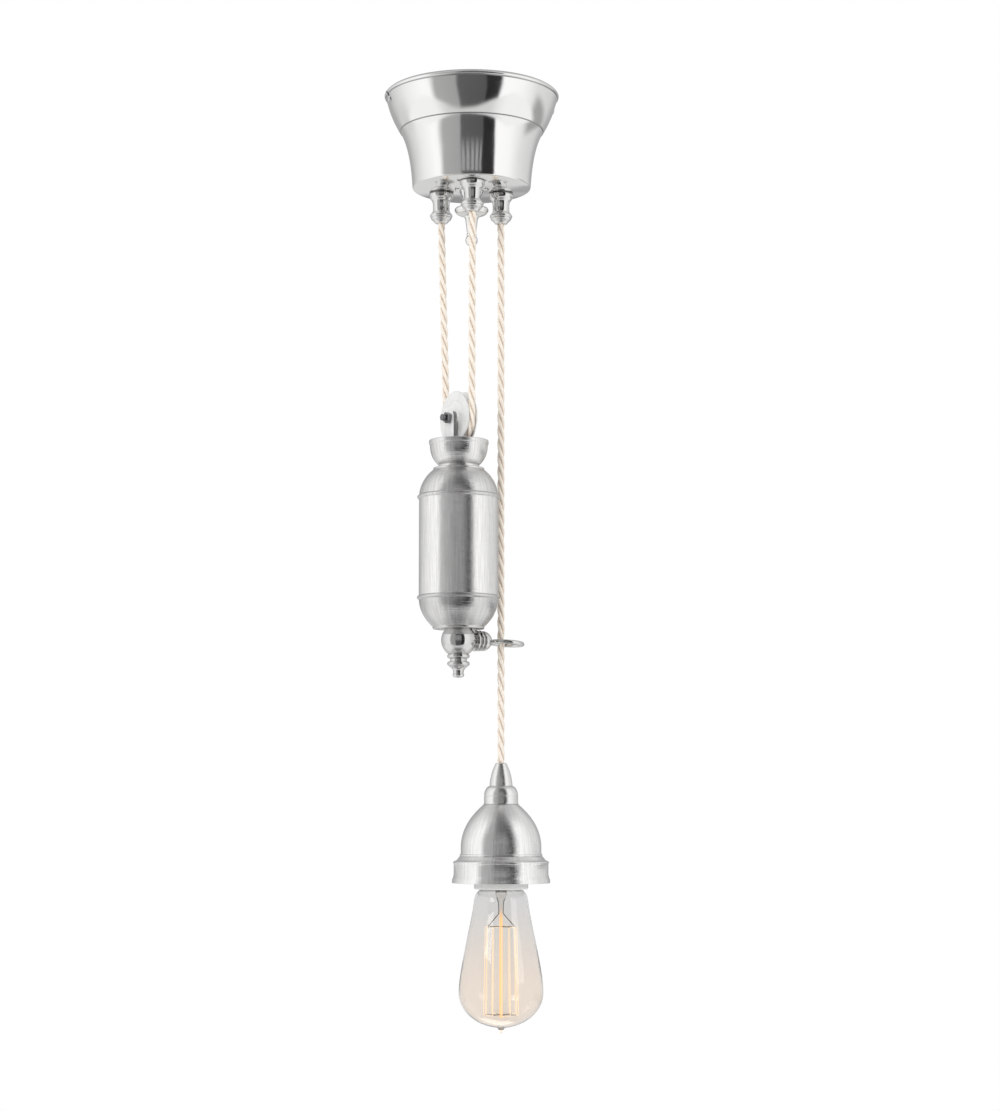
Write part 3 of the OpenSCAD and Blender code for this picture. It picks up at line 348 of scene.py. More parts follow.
m.covering({"Base Color": tone, "Roughness": 0.85, "Sheen Weight": 0.25,
            "Sheen Roughness": 0.5, "Specular IOR Level": 0.3}, plait + fleck * 0.5, 0.00012, 0.5)


class ShapeMaker(Maker):
    """Adds Geometry Nodes to one tree, whose inputs come out of the node given."""

    def __init__(self, tree):
        super().__init__(tree)
        self.given = self.node("NodeGroupInput")

    def stored(self, shape, name, value, kind="FLOAT_VECTOR"):
        return self.node("GeometryNodeStoreNamedAttribute",
                         {"data_type": kind, "domain": "POINT"},
                         {"Geometry": shape, "Name": name, "Value": value})

    def read(self, name, kind="FLOAT_VECTOR"):
        return self.node("GeometryNodeInputNamedAttribute", {"data_type": kind}, {"Name": name})

    def vectors(self, operation, values, out=0):
        return self.node("ShaderNodeVectorMath", {"operation": operation}, values, out)

    def result(self, shape):
        """Ends a tree: the shape as one plain mesh, in its finish."""
        shape = self.node("GeometryNodeRealizeInstances", values={"Geometry": shape})
        self.node("NodeGroupOutput", values={0: self.node("GeometryNodeSetMaterial", values={
            "Geometry": shape, "Material": self.given.of("Finish")})})


def shape_tree(name, inputs):
    """A Geometry Nodes tree with one mesh in and one out and these named inputs."""
    tree = bpy.data.node_groups.new(name, "GeometryNodeTree")
    tree.interface.new_socket("Geometry", in_out="INPUT", socket_type="NodeSocketGeometry")
    tree.interface.new_socket("Geometry", in_out="OUTPUT", socket_type="NodeSocketGeometry")
    for socket, kind in inputs:
        tree.interface.new_socket(socket, in_out="INPUT", socket_type="NodeSocket" + kind)
    return tree, ShapeMaker(tree)


def shaped(name, tree, source, values):
    """The plain mesh that a tree makes from a mesh, as a new object."""
    start = in_scene(name + "_start", source)
    modifier = start.modifiers.new("shape", "NODES")
    modifier.node_group = tree
    for item in tree.interface.items_tree:
        if item.in_out == "INPUT" and item.name in values:
            modifier[item.identifier] = values[item.name]
    bpy.context.view_layer.update()
    found = start.evaluated_get(bpy.context.evaluated_depsgraph_get())
    mesh = bpy.data.meshes.new_from_object(found)
    start.modifiers.remove(modifier)
    bpy.data.objects.remove(start)
    mesh.name = name
    return in_scene(name, mesh)


# Three cores wound round the line: each copy of it is moved out to one side, by an angle
# that grows with the length that has run past.
lay_up, m = shape_tree("lay_up_three_cores", (
    ("Core Radius", "Float"), ("Twist Radius", "Float"), ("Lay", "Float"), ("Finish", "Material")))
line = m.node("GeometryNodeMeshToCurve", values={0: m.given.of("Geometry")})
core = m.node("GeometryNodeDuplicateElements", {"domain": "SPLINE"}, {0: line, 2: 3})
here = m.node("GeometryNodeInputPosition")
kept = m.stored(core, "heart", here)
along = m.node("GeometryNodeInputTangent")
side = m.read("side")
wound = m.read("run", "FLOAT") / m.given.of("Lay") * math.tau
angle = core.of("Duplicate Index") * (math.tau / 3) - wound
cosine = m.maths("COSINE", angle)
sine = m.maths("SINE", angle)
other_side = m.vectors("CROSS_PRODUCT", {0: along, 1: side})
out_a = m.vectors("SCALE", {0: side, "Scale": cosine * m.given.of("Twist Radius")})
out_b = m.vectors("SCALE", {0: other_side, "Scale": sine * m.given.of("Twist Radius")})
moved = m.node("GeometryNodeSetPosition", values={
    "Geometry": kept, "Offset": m.vectors("ADD", {0: out_a, 1: out_b})})
ring = m.node("GeometryNodeCurvePrimitiveCircle", values={
    "Resolution": 12, "Radius": m.given.of("Core Radius")})
ring = m.stored(ring, "around", m.vectors("NORMALIZE", {0: here}))
tube = m.node("GeometryNodeCurveToMesh", values={
    "Curve": moved, "Profile Curve": ring, "Fill Caps": True})
# How far out the surface stands from the cord's heart, which the cord's finish uses for its
# painted shade between the cores
far = m.vectors("DISTANCE", {0: here, 1: m.read("heart")}, "Value")
tube = m.stored(tube, "proud", far / (m.given.of("Core Radius") + m.given.of("Twist Radius")),
                "FLOAT")
m.result(m.node("GeometryNodeSetShadeSmooth", values={"Geometry": tube}))

# Metres, but the lay, the length in which a core goes once round, is in millimetres
cord_sizes = {"Core Radius": 0.00140, "Twist Radius": 0.00148, "Lay": 32.0, "Finish": thread}
cord_pieces = {}
run_so_far = 0.0
previous_way = (tail_line[1] - tail_line[0]).normalized()
side_now = previous_way.orthogonal().normalized()
for name, line in (("cord_tail", tail_line), ("cord_fixed_leg", fixed_line),
                   ("cord_under_weight_wheel", under_line), ("cord_rising_leg", rising_line),
                   ("cord_over_canopy_wheel", over_line), ("cord_lamp_leg", lamp_line),
                   ("cord_lamp_end", end_line)):
    sides, runs = [], []
    for i, point in enumerate(line):
        onward = (line[min(i + 1, len(line) - 1)] - line[max(i - 1, 0)]).normalized()
        side_now = (previous_way.rotation_difference(onward) @ side_now)
        side_now = (side_now - onward * side_now.dot(onward)).normalized()
        previous_way = onward
        if i:
            run_so_far += (point - line[i - 1]).length * 1000
        sides.extend(side_now)
        runs.append(run_so_far)
    mesh = bpy.data.meshes.new(name)
    mesh.from_pydata(line, [(i, i + 1) for i in range(len(line) - 1)], [])
    mesh.attributes.new("side", "FLOAT_VECTOR", "POINT").data.foreach_set("vector", sides)
    mesh.attributes.new("run", "FLOAT", "POINT").data.foreach_set("value", runs)
    cord_pieces[name] = shaped("twisted_" + name, lay_up, mesh, cord_sizes)
    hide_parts(name)

for name, body in (("cord_tail", "canopy"), ("cord_over_canopy_wheel", "canopy"),
                   ("cord_under_weight_wheel", "counterweight"), ("cord_lamp_end", "lamp")):
    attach(cord_pieces[name], body)
for name, body, line, top in (
        ("cord_fixed_leg", "counterweight", fixed_line, 0),
        ("cord_rising_leg", "counterweight", rising_line, -1),
        ("cord_lamp_leg", "lamp", lamp_line, 0)):
    foot = -1 - top
    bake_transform(cord_pieces[name])
    (line[0] - line[-1]).length


# ---------------------------------------------------------------- the canopy
# Brass, spun to a concave flare with a rolled rim and a crease, plated in nickel and
# polished. Two side screws in open slots of its rim hold it on the ceiling strap.
def curve(p0, p1, p2, p3, n):
    """Radius and drop along a bow between p0 and p3."""
    line = []
    for i in range(n + 1):
        t = i / n
        s = 1 - t
        line.append(tuple(s ** 3 * a + 3 * s * s * t * b + 3 * s * t * t * c + t ** 3 * d
                          for a, b, c, d in zip(p0, p1, p2, p3)))
    return line


def bow(centre, radius, start, end, n):
    return [(centre[0] + radius * math.cos(math.radians(start + (end - start) * i / n)),
             centre[1] + radius * math.sin(math.radians(start + (end - start) * i / n)))
            for i in range(n + 1)]


def inside(wall, thickness):
    """The inner face of a wall, from its foot to its top."""
    line = []
    for i in reversed(range(len(wall))):
        a, b = wall[max(i - 1, 0)], wall[min(i + 1, len(wall) - 1)]
        size = math.dist(a, b)
        line.append((wall[i][0] - (b[1] - a[1]) / size * thickness,
                     wall[i][1] + (b[0] - a[0]) / size * thickness))
    return line


def rounded(outline, radius):
    """The same closed outline with its hard corners broken, as polishing leaves them."""
    corners = [Vector(p) for p in outline]
    line = []
    for i, corner in enumerate(corners):
        back, on = corners[i - 1] - corner, corners[(i + 1) % len(corners)] - corner
        if corner.x < 0.01 or back.length < 1e-4 or on.length < 1e-4 \
                or math.degrees((-back).angle(on)) < 24:
            line.append(tuple(corner))
            continue
        cut = min(radius, 0.3 * back.length, 0.3 * on.length)
        back, on = back.normalized() * cut, on.normalized() * cut
        line.append(tuple(corner + back * 1.5))
        for t in (0, 0.25, 0.5, 0.75, 1):
            line.append(tuple(corner + back * (1 - t) ** 2 + on * t * t))
        line.append(tuple(corner + on * 1.5))
    return line


def turned(outline, steps):
    """A solid turned about the upright axis from a closed outline of radius and drop."""
    shape = bmesh.new()
    rings = []
    for r, drop in outline:
        if r < 0.01:
            rings.append([shape.verts.new((0, 0, -drop))])
        else:
            rings.append([shape.verts.new((r * math.cos(math.tau * k / steps),
                                           r * math.sin(math.tau * k / steps), -drop))
                          for k in range(steps)])
    for i, ring in enumerate(rings):
        other = rings[(i + 1) % len(rings)]
        if len(ring) == 1 and len(other) == 1:
            continue
        for k in range(steps):
            n = (k + 1) % steps
            if len(ring) == 1:
                shape.faces.new((ring[0], other[n], other[k]))
            elif len(other) == 1:
                shape.faces.new((ring[k], ring[n], other[0]))
            else:
                shape.faces.new((ring[k], ring[n], other[n], other[k]))
    bmesh.ops.recalc_face_normals(shape, faces=shape.faces)
    return shape


def laid(shape, x=0, y=0, z=0, turn=0, tip=0):
    """Moves a shape drawn in millimetres to its place in the light's plan. Tipped by 90
    degrees, what was drawn upright points outwards along the plan's x."""
    shape.transform(Matrix.Scale(0.001, 4) @ Matrix.Rotation(math.radians(plan_turn), 4, "Z")
                    @ Matrix.Translation((x, y, z)) @ Matrix.Rotation(math.radians(turn), 4, "Z")
                    @ Matrix.Rotation(math.radians(tip), 4, "Y"))
    return shape


def mesh_of(name, shape, sharp=None):
    """The mesh of a shape, which is used up. Given an angle in degrees, it is shaded
    smooth, but for the edges that are sharper."""
    mesh = bpy.data.meshes.new(name)
    shape.to_mesh(mesh)
    shape.free()
    if sharp:
        mesh.shade_smooth()
        mesh.set_sharp_from_angle(angle=math.radians(sharp))
    return mesh


def together(*shapes):
    whole = shapes[0]
    for shape in shapes[1:]:
        mesh = mesh_of("part", shape)
        whole.from_mesh(mesh)
        bpy.data.meshes.remove(mesh)
    return whole


def belongs(piece, body, nodes):
    """The piece rides on a body, and takes the place of these CAD parts."""
    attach(piece, body)
    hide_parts(*nodes)
    return piece


def put(name, shape, body, finish, nodes, sharp=35):
    """A finished piece from a shape."""
    mesh = mesh_of(name, shape, sharp)
    mesh.materials.append(finish)
    return belongs(in_scene(name, mesh), body, nodes)


def polished_nickel(name, centre=(0, 0, 0), wave=1.0, soft=0.06, tint=0.86, shaded_creases=()):
    """Nickel plate on turned brass: a mirror with faint rings from the lathe, a slow ripple from
    the spinning, a few smudges, and painted shade, a near-black band, in the creases at these
    heights."""
    finish, m = new_finish(name)
    place = m.node("ShaderNodeTexCoord", out="Object")
    local = m.node("ShaderNodeMapping", values={
        "Vector": place, "Location": tuple(-v for v in fitted(*centre))})
    xyz = m.node("ShaderNodeSeparateXYZ", values={0: local})
    out = m.maths("SQRT", xyz * xyz + xyz.of("Y") * xyz.of("Y"))
    track = m.node("ShaderNodeCombineXYZ", values={0: out, 1: xyz.of("Z"), 2: 0.0})
    rings = m.noise(track, 2600.0, 2.0)
    ripple = m.noise(place, 26.0, 1.0)
    smudge = m.noise(place, 70.0, 6.0, 0.7)
    pits = m.node("ShaderNodeTexVoronoi", values={"Vector": place, "Scale": 420.0}, out="Distance")
    pits = 1 - m.rise(pits, 0.02, 0.07)
    colour = m.mixed(smudge, (tint * 0.96, tint * 0.957, tint * 0.945, 1),
                     (tint, tint * 0.998, tint * 0.99, 1))
    colour = m.mixed(pits * 0.3, colour, (0.35, 0.34, 0.32, 1))
    # Painted shade: a near-black band at each of these heights, where a crease or a joint lies in
    # shadow
    for level in shaded_creases:
        crease = m.band(xyz.of("Z") * 1000, level - 0.4, level + 0.4, 0.25)
        colour = m.mixed(crease * 0.7, colour, (0.16, 0.16, 0.155, 1))
    height = ripple * wave + rings * 0.001 - pits * 0.004
    m.covering({"Base Color": colour, "Metallic": 1.0,
                "Roughness": m.rise(smudge, 0.35, 0.75) * 0.05 + soft}, height)
    return finish


def cut_out(shape, tools, name):
    """The shape with the tools' shapes cut out of it."""
    whole = in_scene(name + "_whole", mesh_of(name + "_whole", shape))
    tool = in_scene(name + "_tool", mesh_of(name + "_tool", together(*tools)))
    modifier = whole.modifiers.new("cut", "BOOLEAN")
    modifier.operation = "DIFFERENCE"
    modifier.solver = "EXACT"
    modifier.object = tool
    bpy.context.view_layer.update()
    done = whole.evaluated_get(bpy.context.evaluated_depsgraph_get())
    result = bmesh.new()
    result.from_mesh(bpy.data.meshes.new_from_object(done))
    bpy.data.objects.remove(whole)
    bpy.data.objects.remove(tool)
    return result


def slot_cutter(radius, length, depth):
    """An upright slot with a round foot, open at its top, along x."""
    shape = bmesh.new()
    edge = [(radius * math.sin(math.radians(a)), -radius * math.cos(math.radians(a)))
            for a in range(-90, 91, 15)] + [(radius, length), (-radius, length)]
    near = [shape.verts.new((0, y, z)) for y, z in edge]
    far = [shape.verts.new((depth, y, z)) for y, z in edge]
    shape.faces.new(near)
    shape.faces.new(reversed(far))
    for i in range(len(edge)):
        n = (i + 1) % len(edge)
        shape.faces.new((near[i], far[i], far[n], near[n]))
    bmesh.ops.recalc_face_normals(shape, faces=shape.faces)
    return shape


rim_to_crease = curve((66.6, 5.2), (64.6, 12.4), (63.2, 19), (56, 31.2), 20)
flare = curve((55.4, 31.5), (51.8, 38), (47.4, 50), (46, 75.2), 24)
canopy_side = rim_to_crease + flare
canopy_outline = rounded(
    curve((63.4, 0.1), (65, 0.4), (67.6, 1.84), (68, 3.34), 12)
    + [(67.8, 4.0), (67.2, 4.6)] + canopy_side
    + [(45.5, 76.3), (44.3, 76.8), (0, 76.8), (0, 75.3), (43.6, 75.3)]
    + [(r - 1.2, drop) for r, drop in reversed(canopy_side) if 5.3 < drop < 74.6], 0.3)
# The strap lies across the canopy at its own turn, with a screw at each end
strap_turn = 15 - plan_turn
screw_drop = 9.5
cutters = []
for end in (0, 180):
    cutter = slot_cutter(1.7, 11, 16)
    cutter.transform(Matrix.Translation((56, 0, -screw_drop)))
    cutters.append(laid(cutter, turn=strap_turn + end))
# Painted shade in the crease of the flare and under the rolled rim
canopy_nickel = polished_nickel("polished_nickel_canopy", soft=0.09, shaded_creases=(-31.4, -5.0))
put("canopy_shell", cut_out(laid(turned(canopy_outline, 224)), cutters, "canopy"), "canopy",
    canopy_nickel, ["canopy"], 28)


# ---------------------------------------------------- the canopy's two screws
# Round-headed nickel screws with a slot, through the rim into the strap's ears.
def slotted_head(radius, thickness, slot):
    head = turned(rounded([(0, 0), (radius, 0), (radius, -thickness * 0.45),
                           (radius * 0.7, -thickness * 0.9), (0, -thickness)], 0.2), 40)
    bar = bmesh.new()
    bmesh.ops.create_cube(bar, size=1)
    bar.transform(Matrix.Translation((0, 0, thickness)) @ Matrix.Diagonal(
        (3 * radius, slot, thickness, 1)))
    return cut_out(head, [bar], "screw")


screws = []
for end in (0, 180):
    for screw_piece, start in ((slotted_head(2.4, 1.0, 0.6), 65.8),
                               (turned([(0, 0), (1.5, 0), (1.5, -9.4), (0, -9.4)], 24), 56.4)):
        screw_piece.transform(Matrix.Translation((0, 0, start)))
        screw_piece.transform(Matrix.Rotation(math.radians(90), 4, "Y"))
        screw_piece.transform(Matrix.Translation((0, 0, -screw_drop)))
        screws.append(laid(screw_piece, turn=strap_turn + end))
put("canopy_side_screws", together(*screws), "canopy",
    polished_nickel("polished_nickel_screws", wave=0.2), ["canopy_screws"])


# ------------------------------------------------------- rosette and finial
# A thin disc and a turned ornament below the canopy, screwed onto the centre rod: they
# pull the canopy's floor up against its nuts.
base = -76.8
rod_nickel = polished_nickel("polished_nickel_finial", wave=0.5, soft=0.045, tint=0.84)
put("canopy_rosette", laid(turned(rounded(
    [(0, 0), (13.2, 0), (13.2, 0.6), (12.3, 1.2), (10, 1.5), (0, 1.5)], 0.3), 128), z=base),
    "canopy", rod_nickel, ["rosette"])
finial_outline = [(0, 0), (9.4, 0), (9.6, 0.7), (8.9, 1.6)] \
    + curve((8.9, 1.6), (8.6, 4.5), (7.4, 4), (7.2, 7.5), 14) \
    + [(7.3, 9), (8.4, 10.2), (8.8, 12.2)] + bow((11.2, 15.2), 2, -80, 60, 14) \
    + curve((11.8, 17.6), (9.5, 19.5), (5.6, 19), (4.9, 22.4), 14) \
    + [(3.5, 33.6), (4.0, 34.6), (3.5, 35.4)] + bow((0, 38.8), 4.8, -38, 66, 20) \
    + [(1.2, 43.6), (0, 44)]
put("canopy_turned_finial", laid(turned(rounded(finial_outline, 0.3), 128), z=base - 1.5),
    "canopy", rod_nickel, ["canopy_finial"])


# ---------------------------------------------------------------- the glands
# Three turned glands with a bell foot against the canopy, a waist and a bead, where the
# cord leaves. Each has a threaded stem through the floor, its locknut and a white bush.
gland_places = (fixed_gland, weight_gland, lamp_gland)
gland_outline = rounded(
    [(5, -7.9), (5, 0), (9.1, 0), (9.6, 0.6), (9.6, 2.2)]
    + curve((9.1, 3.4), (8.0, 6), (6.9, 5), (6.5, 9.6), 14)
    + [(6.5, 13.6), (6.9, 15.2), (7.7, 16)] + bow((7.2, 18), 1.6, -60, 60, 14)
    + curve((8.2, 19.8), (7.8, 21.4), (5.7, 22), (4.7, 24), 10) + [(3.8, 24), (3.8, -7.9)], 0.3)

# One piece set out at each point of a mesh, turned as the point says
set_out, m = shape_tree("set_out_pieces", (("Piece", "Object"), ("Finish", "Material")))
points = m.node("GeometryNodeMeshToPoints", values={0: m.given.of("Geometry")})
what = m.node("GeometryNodeObjectInfo", values={"Object": m.given.of("Piece")}, out="Geometry")
turn_by = m.node("FunctionNodeEulerToRotation", values={0: m.read("turn")})
m.result(m.node("GeometryNodeInstanceOnPoints", values={
    "Points": points, "Instance": what, "Rotation": turn_by}))


def set_pieces(name, shape, places, body, finish, nodes, turns=None):
    """Copies of one shape, drawn in millimetres, at places of the plan."""
    shape.transform(Matrix.Scale(0.001, 4))
    one = in_scene(name + "_one", mesh_of(name + "_one", shape, 35))
    spots = bpy.data.meshes.new(name + "_spots")
    spots.from_pydata([fitted(*p) for p in places], [], [])
    plan = [Matrix.Rotation(math.radians(plan_turn), 3, "Z")] * len(places)
    if turns:
        plan = [a @ b for a, b in zip(plan, turns)]
    spots.attributes.new("turn", "FLOAT_VECTOR", "POINT").data.foreach_set(
        "vector", [v for turn in plan for v in turn.to_euler()])
    piece = shaped(name, set_out, spots, {"Piece": one, "Finish": finish})
    bpy.data.objects.remove(one)
    return belongs(piece, body, nodes)


# The glands' nickel is a darker copy of the canopy's, and a band at their foot, where they meet
# the canopy, is darker still: both painted shade
set_pieces("cord_glands", turned(gland_outline, 96), [(x, y, base) for x, y in gland_places],
           "canopy", polished_nickel("polished_nickel_glands", wave=0.5, soft=0.045, tint=0.74,
                                     shaded_creases=(-77.0, -77.4)),
           ["gland_fixed", "gland_weight", "gland_lamp"])


# ------------------------------------------------- nuts and bushes of the glands
# A zinc-plated locknut on each gland's stem, on the canopy's floor, and a white moulded
# bush through each gland, so that no edge wears the cord.
def plain_metal(name, colour, soft, centre=(0, 0, 0), turn=0, tip=0, lines=1.0, spots=0.0,
                wave=0.0, spread=0.12, metallic=1.0, streaks=0.0):
    """Unpolished metal: fine tool lines run round the axis it was turned on, and streaks,
    from 0 to 1, rub its tone out along that axis."""
    finish, m = new_finish(name)
    place = m.node("ShaderNodeTexCoord", out="Object")
    axis = Matrix.Rotation(math.radians(plan_turn + turn), 3, "Z") @ Matrix.Rotation(
        math.radians(tip), 3, "Y")
    local = m.node("ShaderNodeMapping", {"vector_type": "TEXTURE"}, {
        "Vector": place, "Location": tuple(fitted(*centre)), "Rotation": tuple(axis.to_euler())})
    xyz = m.node("ShaderNodeSeparateXYZ", values={0: local})
    out = m.maths("SQRT", xyz * xyz + xyz.of("Y") * xyz.of("Y"))
    around = m.maths("ARCTAN2", xyz.of("Y"), xyz)
    track = m.node("ShaderNodeCombineXYZ", values={0: out, 1: xyz.of("Z"), 2: around * 0.0004})
    fine = m.noise(track, 3200.0, 3.0)
    broad = m.noise(place, 90.0, 5.0)
    slow = m.noise(place, 24.0, 1.0)
    worn = m.noise(place, 900.0, 3.0)
    brushed = m.node("ShaderNodeCombineXYZ", values={0: around, 1: xyz.of("Z") * 1.5, 2: 0.0})
    brushed = m.noise(brushed, 22.0, 4.0, 0.7)
    shade_of = m.chosen(streaks, broad * 0.6 + fine * 0.4, brushed)
    darker = tuple(v * (1 - spread) for v in colour)
    m.covering({"Base Color": m.mixed(m.rise(shade_of, 0.3, 0.7), (*darker, 1), (*colour, 1)),
                "Metallic": metallic, "Roughness": m.rise(broad, 0.3, 0.8) * 0.08 + soft},
               slow * wave + fine * (0.012 * lines) + worn * (0.03 * spots))
    return finish


def moulded(name, colour, soft=0.3):
    """Plastic or glaze with a faint uneven skin."""
    finish, m = new_finish(name)
    place = m.node("ShaderNodeTexCoord", out="Object")
    skin = m.noise(place, 300.0, 4.0)
    dirt = m.noise(place, 60.0, 6.0)
    darker = tuple(v * 0.93 for v in colour)
    m.covering({"Base Color": m.mixed(dirt, (*darker, 1), (*colour, 1)),
                "Roughness": m.rise(dirt, 0.3, 0.8) * 0.12 + soft}, skin, 0.0002, 0.15)
    return finish


def nut(radius, height, bore):
    """A hexagon nut with its corners turned down, standing up from z = 0."""
    return turned([(bore, 0), (radius * 0.95, 0), (radius, -0.1 * height),
                   (radius, -0.9 * height), (radius * 0.95, -height), (bore, -height)], 6)


zinc = plain_metal("zinc_plated_steel", (0.62, 0.63, 0.62), 0.27, lines=0.4, spots=0.4)
white_plastic = moulded("white_moulded_plastic", (0.83, 0.83, 0.8))
set_pieces("gland_locknuts", nut(8.6, 4, 5.05), [(x, y, -75.25) for x, y in gland_places],
           "canopy", zinc, ["gland_locknuts"],
           [Matrix.Rotation(math.radians(15), 3, "Z")] * 3)
bush = turned(rounded([(3.05, -8), (3.75, -8), (3.75, 24), (3.05, 24)], 0.15), 48)
set_pieces("gland_bushes", bush, [(x, y, base) for x, y in gland_places], "canopy",
           white_plastic, ["gland_bushes"])


# --------------------------------------------------- what the canopy hides
# The pressed steel ceiling strap with its down-turned ears, the threaded rod and its
# nuts, the folded yoke of the upper wheel with its bolt and nut, and the clamp collar on
# the cord's fixed end, which bears on the gland's stem: all zinc plated.
def from_cad(name, nodes, body, finish, sharp=30):
    """A smoothed copy of the model's own parts, where their shape is the whole story."""
    shape = bmesh.new()
    for node in nodes:
        shape.from_mesh(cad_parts[node].data)
    bmesh.ops.remove_doubles(shape, verts=shape.verts, dist=2e-6)
    return put(name, shape, body, finish, nodes, sharp)


for name, node in (("ceiling_strap_pressed", "ceiling_strap"), ("folded_yoke", "wheel_yoke"),
                   ("centre_rod_nuts", "rod_nuts"), ("upper_axle_bolt", "canopy_axle"),
                   ("upper_axle_nut", "canopy_axle_nut"), ("clamp_collar", "cord_anchor"),
                   ("clamp_screw", "anchor_screw")):
    from_cad(name, [node], "canopy", zinc)


def threaded(radius, low, high):
    """A rod with a cut thread: rings of alternate radius, each a little turned down."""
    pitch = 1.0
    outline = [(0, -high), (radius - 0.4, -high)]
    at = high - 0.4
    while at > low + pitch:
        outline += [(radius, -at), (radius, -at + 0.15 * pitch),
                    (radius - 0.34 * pitch, -at + 0.5 * pitch),
                    (radius - 0.34 * pitch, -at + 0.62 * pitch)]
        at -= pitch
    return turned(outline + [(radius - 0.4, -low), (0, -low)], 32)


rod_heights = [v.co.z * 1000 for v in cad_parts["centre_rod"].data.vertices]
put("threaded_centre_rod", laid(threaded(3.0, min(rod_heights), max(rod_heights))), "canopy",
    zinc, ["centre_rod"])

# The white terminal block under the strap with its brass screws, the earth screw and
# the three brown cores of the cord's tail
brass = plain_metal("plain_brass", (0.74, 0.55, 0.27), 0.25, lines=0.5, spots=0.3)
from_cad("three_way_terminal_block", ["terminal_block"], "canopy", white_plastic)
from_cad("terminal_clamp_screws", ["terminal_screws"], "canopy", brass)
from_cad("earth_terminal_screw", ["earth_screw"], "canopy", brass)
from_cad("three_brown_cores", ["core_wires"], "canopy",
         moulded("brown_insulation", (0.2, 0.11, 0.06), 0.45), 60)


# ------------------------------------------------------------- the two wheels
# Turned from aluminium and tumbled to a pale satin: a round groove that fits the cord,
# a dished web and a hub that runs on its axle.
pulley_at = (pulley_x, 0, pulley_axle)
axle_bore = 2.55


def wheel_outline(pitch, hub, half):
    rim = pitch + 1.8
    side = [(axle_bore, half), (hub, half), (hub, 4.9), (hub + 0.8, 4.2), (pitch - 5.2, 4.2),
            (pitch - 4.6, 4.6), (rim - 0.6, 4.6), (rim, 4.0), (rim, 3.25)]
    groove = bow((pitch, 0), 3.05, 90, 270, 24)
    return rounded([(r, -a) for r, a in side] + [(r, -a) for r, a in groove]
                   + [(r, a) for r, a in reversed(side)], 0.35)


put("upper_grooved_wheel",
    laid(turned(wheel_outline(upper_pitch, 7, 4.95), 128), *upper_at, 120, 90), "top_wheel",
    plain_metal("pale_satin_aluminium_upper", (0.86, 0.86, 0.85), 0.4, upper_at, 120, 90,
                lines=2.0, metallic=0.6), ["canopy_wheel"])
put("lower_grooved_wheel",
    laid(turned(wheel_outline(lower_pitch, 6, 5.3), 144), *pulley_at, tip=90), "lower_wheel",
    plain_metal("pale_satin_aluminium_lower", (0.9, 0.9, 0.89), 0.42, pulley_at, tip=90,
                lines=1.6, metallic=0.45), ["weight_wheel"])


# --------------------------------------------------------- the wheel's fork
# Two aluminium ears, round over the axle, milled from one piece with the base that the
# tie rod clamps into the cup; the axle's two dark nuts hold them on a dark steel axle.
def plate(outline, thickness, holes=()):
    """A sheet along x from its outline and round holes (y, z, radius), edges broken."""
    loops = [[Vector((0, y, z)) for y, z in outline]]
    for y, z, r in holes:
        loops.append([Vector((0, y + r * math.cos(a), z + r * math.sin(a)))
                      for a in (-math.tau * k / 40 for k in range(40))])
    shape = bmesh.new()
    near = [[shape.verts.new(p) for p in loop] for loop in loops]
    far = [[shape.verts.new(p + Vector((thickness, 0, 0))) for p in loop] for loop in loops]
    flat_near, flat_far = sum(near, []), sum(far, [])
    for corners in tessellate_polygon(loops):
        shape.faces.new([flat_near[i] for i in corners])
        shape.faces.new([flat_far[i] for i in reversed(corners)])
    for a, b in zip(near, far):
        for i in range(len(a)):
            n = (i + 1) % len(a)
            shape.faces.new((a[i], a[n], b[n], b[i]))
    bmesh.ops.recalc_face_normals(shape, faces=shape.faces)
    edges = [e for e in shape.edges if len(e.link_faces) == 2
             and e.calc_face_angle(0) > math.radians(60)]
    bmesh.ops.bevel(shape, geom=edges, offset=0.35, segments=2, affect="EDGES", profile=0.5)
    return shape


ear_round = 6.5
ear_thickness = 3
fork_half = 8.6
fork_foot = 34.8
ear_line = bow((0, 0), ear_round, 0, 180, 32) + [(-ear_round, -fork_foot), (ear_round, -fork_foot)]
ears = []
for start in (fork_half - ear_thickness, -fork_half):
    ear = plate(ear_line, ear_thickness, [(0, 0, 2.6)])
    ear.transform(Matrix.Translation((start, 0, 0)))
    ears.append(laid(ear, *pulley_at))
fork_base = plate([(ear_round, 3 - fork_foot), (-ear_round, 3 - fork_foot),
                   (-ear_round, -fork_foot), (ear_round, -fork_foot)], 2 * fork_half)
fork_base.transform(Matrix.Translation((-fork_half, 0, 0)))
fork = together(*ears, laid(fork_base, *pulley_at))
# The narrow sides take the second finish, a much darker grey: painted shade on these sides
edge_way = fitted(0, 1, 0).normalized()
for face in fork.faces:
    if abs(face.normal.dot(edge_way)) > 0.7:
        face.material_index = 1
pale_fork = plain_metal("pale_satin_aluminium_fork", (0.88, 0.88, 0.87), 0.36, lines=1.2,
                        metallic=0.5)
fork = put("milled_fork", fork, "counterweight", pale_fork, ["weight_fork"])
